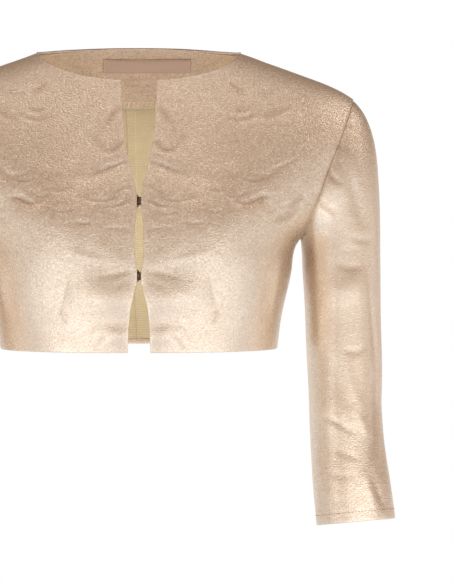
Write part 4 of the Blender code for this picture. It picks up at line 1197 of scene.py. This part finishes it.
# t and ring of the facing's visible side at x and z, found by 30 Newton steps
def onFacing(x, z):
    t, ring, step = np.abs(x) / 0.2, np.full(x.shape, 7.5), 1e-3
    flat = lambda x, z: 0 * x
    for _ in range(30):
        here = clothLayer(1, t, ring, labelDepth(ring), flat)
        byT = (clothLayer(1, t + step, ring, labelDepth(ring), flat) - here) / step
        byRing = (here - clothLayer(1, t, ring - step, labelDepth(ring - step), flat)) / step
        missX, missZ = np.abs(x) - here[..., 0], z - here[..., 2]
        area = byT[..., 0] * byRing[..., 2] - byT[..., 2] * byRing[..., 0]
        t = t + (missX * byRing[..., 2] - missZ * byRing[..., 0]) / area
        ring = ring + (byT[..., 0] * missZ - byT[..., 2] * missX) / area
    return np.where(x < 0, -t, t), ring


def labelPoints(x, z, extra=0.0):
    t, ring = onFacing(x, z)
    return clothLayer(1, t, ring, labelDepth(ring) + extra, backRelief)


def makeLabel():
    across = np.linspace(label["left"], label["right"], label["columns"])
    x, z = np.meshgrid(across, np.linspace(label["foot"], label["top"], label["rows"]))
    near = labelPoints(x, z)
    swell = label["swell"] * np.sin(np.pi * (z - label["foot"]) / (label["top"] - label["foot"]))
    far = labelPoints(x, z, cloth["labelWall"] * 0.5 + swell)
    piece = clothWall("label_satin", near, far, (label["roll"],) * 4, [labelCloth], 0, {}, flip=True)
    finishPiece(piece, "label", "label")


makeLabel()
print("label made")

# Sewing
sewing = dict(
    cuffPitch=0.0030, cuffThread=0.00024, labelPitch=0.0018, labelThread=0.00014,
    lockPitch=0.0023, lockThread=0.00040, lockFoot=0.012, lockHead=0.165, lockReach=0.97,
    hemPitch=0.0024, hemThread=0.00020, hemFoot=0.035, hemHead=0.125, hemReach=0.955,
    pleatTop=(-0.0035, -0.052), pleatFoot=(-0.0022, -0.137), pleatStitches=34, pleatThread=0.00022,
    seamSunk=0.0009, seamThread=0.0007, neckSeamShadow=(0.0, -0.0008, 0.0006), neckSeamShadowThread=0.00042,
)


# Running stitches along a line: the first part of each step is thread, the rest is the gap
def runningStitches(name, path, outwards, fill, radius, lift, surface, closed=False):
    starts = path if closed else path[:-1]
    follow = np.roll(path, -1, 0) if closed else path[1:]
    if not closed:
        outwards = outwards[:-1]
    piece = stitchPiece(name, starts, starts + (follow - starts) * fill, outwards, radius, lift, surface)
    return finishPiece(piece, "leather")


# Cuff topstitch: on each column the point a fixed way above the cuff
def sewCuffs():
    at = np.argmax(fromCuff < sleeves["topstitch"], axis=0)
    columns = np.arange(sleeveOuter.shape[1])
    high, low = fromCuff[at - 1, columns], fromCuff[at, columns]
    f = ((high - sleeves["topstitch"]) / (high - low))[:, None]
    line = sleeveOuter[at - 1, columns] * (1 - f) + sleeveOuter[at, columns] * f
    path = spaced(line, sewing["cuffPitch"], closed=True)
    normals = nearestOutwards(sleeveOutwards[at, columns], path, line)
    path = path + normals * 0.00002
    for side, turn in (("left", np.ones(3)), ("right", np.array([-1.0, 1, 1]))):
        name, look = "cuff_stitches_" + side, (0.62, sewing["cuffThread"], 0.00010, darkThread)
        runningStitches(name, path * turn, normals * turn, *look, closed=True)


# Overlock stitches: in each step a slanted thread from the lower line to the upper one, and a thread
# along each line
def overlock(name, lower, upper, pitch, radius, lift, outwards):
    at = np.linspace(0, 1, int(walked(lower[None], 1)[0, -1] / pitch))

    def pick(line):
        return np.stack([np.interp(at, np.linspace(0, 1, len(line)), line[:, k]) for k in range(3)], -1)

    foot, head, out = pick(lower), pick(upper), unit(pick(outwards))
    starts = np.concatenate([foot[:-1], head[:-1], foot[:-1]])
    ends = np.concatenate([head[:-1] * 0.5 + head[1:] * 0.5, head[1:], foot[1:]])
    out = np.concatenate([out[:-1]] * 3)
    finishPiece(stitchPiece(name, starts, ends, out, radius, lift, paleThread), "lining")


# Overlock along the facing's foot, and along the hem inside the back
def sewInside():
    across = np.linspace(-1, 1, 321) * facing["width"] * sewing["lockReach"]
    foot = facingFoot(across)
    lower, upper = (
        clothLayer(1, across, ring, facingDepth(ring, foot) + 0.0002, backRelief)
        for ring in (foot + sewing["lockFoot"], foot + sewing["lockHead"])
    )
    inwards = toSide(across, -bodiceOutward(1, np.abs(across), foot))
    overlock("facing_overlock", lower, upper, sewing["lockPitch"], sewing["lockThread"], 0.00025, inwards)
    across = np.linspace(-1, 1, 321) * sewing["hemReach"]
    inwards = toSide(across, -bodiceOutward(1, np.abs(across), 0 * across))
    lower, upper = (
        clothLayer(1, across, ring, cloth["leatherWall"] + 0.0001, backRelief)
        for ring in (sewing["hemFoot"], sewing["hemHead"])
    )
    overlock("hem_overlock", lower, upper, sewing["hemPitch"], sewing["hemThread"], 0.00020, inwards)


# Row of small stitches that holds the upper part of the pleat
def sewPleat():
    x, z = np.linspace(sewing["pleatTop"], sewing["pleatFoot"], sewing["pleatStitches"]).T
    placed = liningFar.reshape(-1, 3)
    near = np.argmin(np.hypot(placed[:, 0] - x[:, None], placed[:, 2] - z[:, None]), axis=1)
    path = np.stack([x, placed[near, 1], z], -1)
    inwards = np.broadcast_to(np.array([0.0, -1.0, 0.0]), path.shape)
    path = path + inwards * 0.0002
    runningStitches("pleat_stitches", path, inwards, 0.6, sewing["pleatThread"], 0.00015, paleThread)


def sewLabel():
    inset = label["inset"]
    left, right = label["left"] + inset, label["right"] - inset
    foot, top = label["foot"] + inset, label["top"] - inset
    count = int((right - left) / sewing["labelPitch"])
    for name, x, z, surface in (
        ("label_stitches_foot", np.linspace(left, right, count), np.full(count, foot), darkThread),
        ("label_stitches_top", np.linspace(left, right, count), np.full(count, top), darkThread),
        ("label_stitches_right", np.full(8, right), np.linspace(foot, top, 8), paleThread),
        ("label_stitches_left", np.full(8, left), np.linspace(foot, top, 8), paleThread),
    ):
        path = labelPoints(x, z, cloth["labelWall"] * 0.5 + 0.0001)
        inwards = unit(np.stack([0 * x, 0 * x - 1, 0 * x + 0.1], -1))
        runningStitches(name, path, inwards, 0.66, sewing["labelThread"], 0.00012, surface)


# Seam lines: a thread closes the slit between two panels, sunk a little below the surface. Along
# the back of the neck a dark thread marks the facing's seam and is painted shadow of the rolled edge
def sewSeams():
    below, above = frontRows < cloth["underarmRing"] + 1e-9, frontRows > cloth["shoulderRing"] - 1e-9
    frontEdge, backEdge = frontOuter[:, -1], backOuter[:, -1]
    outwards = unit(frontOutwards[:, -1] + backOutwards[:, -1])
    middle = (frontEdge + backEdge) / 2 - outwards * sewing["seamSunk"]
    loop = armholeLoop + towardsArmhole(armholeLoop) * sewing["seamSunk"]
    # Dark line along the back neck edge: the facing's seam and painted shadow of the rolled edge
    neck = backOuter[-1][4:-4] + np.array(sewing["neckSeamShadow"])
    level, steep = (0.0, 1.0, 0.15), (0.4, 0.1, 0.0)
    seams = []
    for side, turn in (("left", np.ones(3)), ("right", np.array([-1.0, 1, 1]))):
        seams += [
            ("side_seam_" + side, middle[below] * turn, sewing["seamThread"], False, level),
            ("shoulder_seam_" + side, middle[above] * turn, sewing["seamThread"], False, level),
            ("armhole_seam_" + side, loop * turn, sewing["seamThread"], True, steep),
        ]
    for name, path, radius, closed, up in (*seams, ("neck_seam_shadow", neck, sewing["neckSeamShadowThread"], False, level)):
        points, quads = tubeAlong(path, radius, 8, closed, up)
        finishPiece(meshPiece(name, points, quads, [seamThread]), "leather")


sewCuffs()
sewInside()
sewPleat()
sewLabel()
sewSeams()
print("sewing made")

for nodeName in ("hook_upper", "bar_upper", "hook_lower", "bar_lower"):
    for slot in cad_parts[nodeName].material_slots:
        slot.material = hookMetal
print("hooks finished")


# Camera, lights and floor
view = dict(place=(0.0, -2.5, -0.1683), focal=2688.0, imageHeight=584, aside=87.0, down=58.0)
camera = bpy.data.objects.new("camera", bpy.data.cameras.new("camera"))
bpy.context.scene.collection.objects.link(camera)
camera.data.sensor_width = 36
camera.data.lens = view["focal"] * 36 / view["imageHeight"]
camera.matrix_world = (
    Matrix.Translation(view["place"])
    @ Matrix.Rotation(-math.atan(view["aside"] / view["focal"]), 4, "Z")
    @ Matrix.Rotation(math.pi / 2 - math.atan(view["down"] / view["focal"]), 4, "X")
)
bpy.context.scene.camera = camera
bpy.context.scene.view_settings.view_transform = "Standard"

# Area lights: place, aim, width and height, watts, colour. The low and cuff ones are the large
# panels that the lower body and the sleeves mirror, the neck and facing ones those of the chest top
lights = dict(
    lowLeft=((0.40, -0.38, -0.430), (0.40, 0.0, -0.430), (0.70, 0.31), 0.34, (1.0, 0.985, 0.950)),
    lowRight=((-0.40, -0.38, -0.430), (-0.40, 0.0, -0.430), (0.70, 0.31), 0.34, (1.0, 0.985, 0.950)),
    cuffLeft=((0.29, -0.24, -0.455), (0.26, 0.0, -0.455), (0.32, 0.21), 0.085, (1.0, 1.0, 1.0)),
    cuffRight=((-0.29, -0.24, -0.455), (-0.26, 0.0, -0.455), (0.32, 0.21), 0.085, (1.0, 1.0, 1.0)),
    facingFront=((0.0, -0.50, 0.085), (0.0, 0.08, 0.0), (0.14, 0.10), 0.016, (1.0, 0.98, 0.94)),
    neckLeft=((0.20, -0.70, 0.64), (0.20, 0.0, 0.64), (0.28, 0.36), 0.36, (1.0, 0.89, 0.77)),
    neckRight=((-0.20, -0.70, 0.64), (-0.20, 0.0, 0.64), (0.28, 0.36), 0.36, (1.0, 0.89, 0.77)),
    top=((0.0, -0.2, 1.3), (0.0, 0.0, -0.1), (1.0, 0.7), 2.2, (1.0, 0.95, 0.90)),
    sideLeft=((1.3, 0.15, 0.90), (0.2, 0.0, -0.1), (0.8, 0.6), 2.6, (1.0, 0.93, 0.87)),
    sideRight=((-1.3, 0.15, 0.90), (-0.2, 0.0, -0.1), (0.8, 0.6), 2.6, (1.0, 0.93, 0.87)),
    behind=((0.0, 1.5, -0.3), (0.0, 0.0, -0.25), (2.0, 0.9), 1.2, (1.0, 0.98, 0.96)),
    insideFill=((0.0, -0.045, -0.145), (0.0, 0.1, -0.145), (0.14, 0.16), 0.20, (1.0, 1.0, 1.0)),
)
for name, (place, aim, size, power, colour) in lights.items():
    data = bpy.data.lights.new(name, "AREA")
    data.shape, data.size, data.size_y = "RECTANGLE", size[0], size[1]
    data.energy, data.color = power, colour
    lamp = bpy.data.objects.new(name, data)
    lamp.location = place
    lamp.rotation_euler = (Vector(aim) - Vector(place)).to_track_quat("-Z", "Y").to_euler()
    lamp.visible_camera = False
    lamp.visible_glossy = name != "insideFill"      # the fill lights the lining and isn't mirrored
    bpy.context.scene.collection.objects.link(lamp)

# World: white to the camera, and to everything else a soft gradient by height, bright low and dark a
# little above the horizon, and dimmer behind the jacket
world = bpy.data.worlds.new("studio")
bpy.context.scene.world = world
world.use_nodes = True
air = world.node_tree
air.nodes.clear()
direction = addNode(air, "ShaderNodeTexCoord").outputs["Generated"]
_, depth, height = addNode(air, "ShaderNodeSeparateXYZ", {0: direction}).outputs
ramp = addNode(air, "ShaderNodeValToRGB", {0: addMath(air, "MULTIPLY_ADD", height, 0.5, 0.5)})
stops = [
    (0.0, (0.80, 0.81, 0.83)), (0.35, (0.84, 0.85, 0.87)), (0.50, (0.76, 0.67, 0.595)),
    (0.59, (0.47, 0.345, 0.256)), (0.70, (0.21, 0.145, 0.102)), (0.82, (0.38, 0.275, 0.205)),
    (0.92, (0.30, 0.225, 0.178)), (1.0, (0.44, 0.36, 0.30)),
]
for place, colour in stops[1:-1]:
    ramp.color_ramp.elements.new(place)
for stop, (place, colour) in zip(sorted(ramp.color_ramp.elements, key=lambda e: e.position), stops):
    stop.position, stop.color = place, (*colour, 1)
wall = addNode(air, "ShaderNodeMapRange", {0: depth, 1: 0.2, 2: 1.0, 3: 1.2, 4: 0.84}).outputs[0]
soft = addNode(air, "ShaderNodeBackground", {"Color": ramp.outputs[0], "Strength": wall})
plain = addNode(air, "ShaderNodeBackground", {"Color": (1, 1, 1, 1), "Strength": 1.0})
seen = addNode(air, "ShaderNodeLightPath").outputs["Is Camera Ray"]
either = addNode(air, "ShaderNodeMixShader", {0: seen, 1: soft.outputs[0], 2: plain.outputs[0]})
air.links.new(either.outputs[0], addNode(air, "ShaderNodeOutputWorld").inputs[0])

# Plain pale floor below the cuffs, out of the photograph's view
floor = dict(z=-0.62, halfWidth=2.2, near=-2.2, far=0.9, pale=(0.50, 0.53, 0.56), deep=(0.46, 0.49, 0.52))
floorLook, floorTree, floorShader = newMaterial("paleFloor")
speck = addNoise(floorTree, objectPlace(floorTree), 3.0)
speckled = mixColours(floorTree, speck, floor["deep"], floor["pale"])
floorTree.links.new(speckled, floorShader.inputs["Base Color"])
floorShader.inputs["Roughness"].default_value = 0.7
floorShader.inputs["Emission Color"].default_value = (1.0, 1.0, 1.0, 1)
floorShader.inputs["Emission Strength"].default_value = 0.46
places = ((-1, "near"), (1, "near"), (1, "far"), (-1, "far"))
corners = [(x * floor["halfWidth"], floor[y], floor["z"]) for x, y in places]
stage = meshPiece("floor", corners, [[0, 1, 2, 3]], [floorLook])
print("camera, lights and floor made")
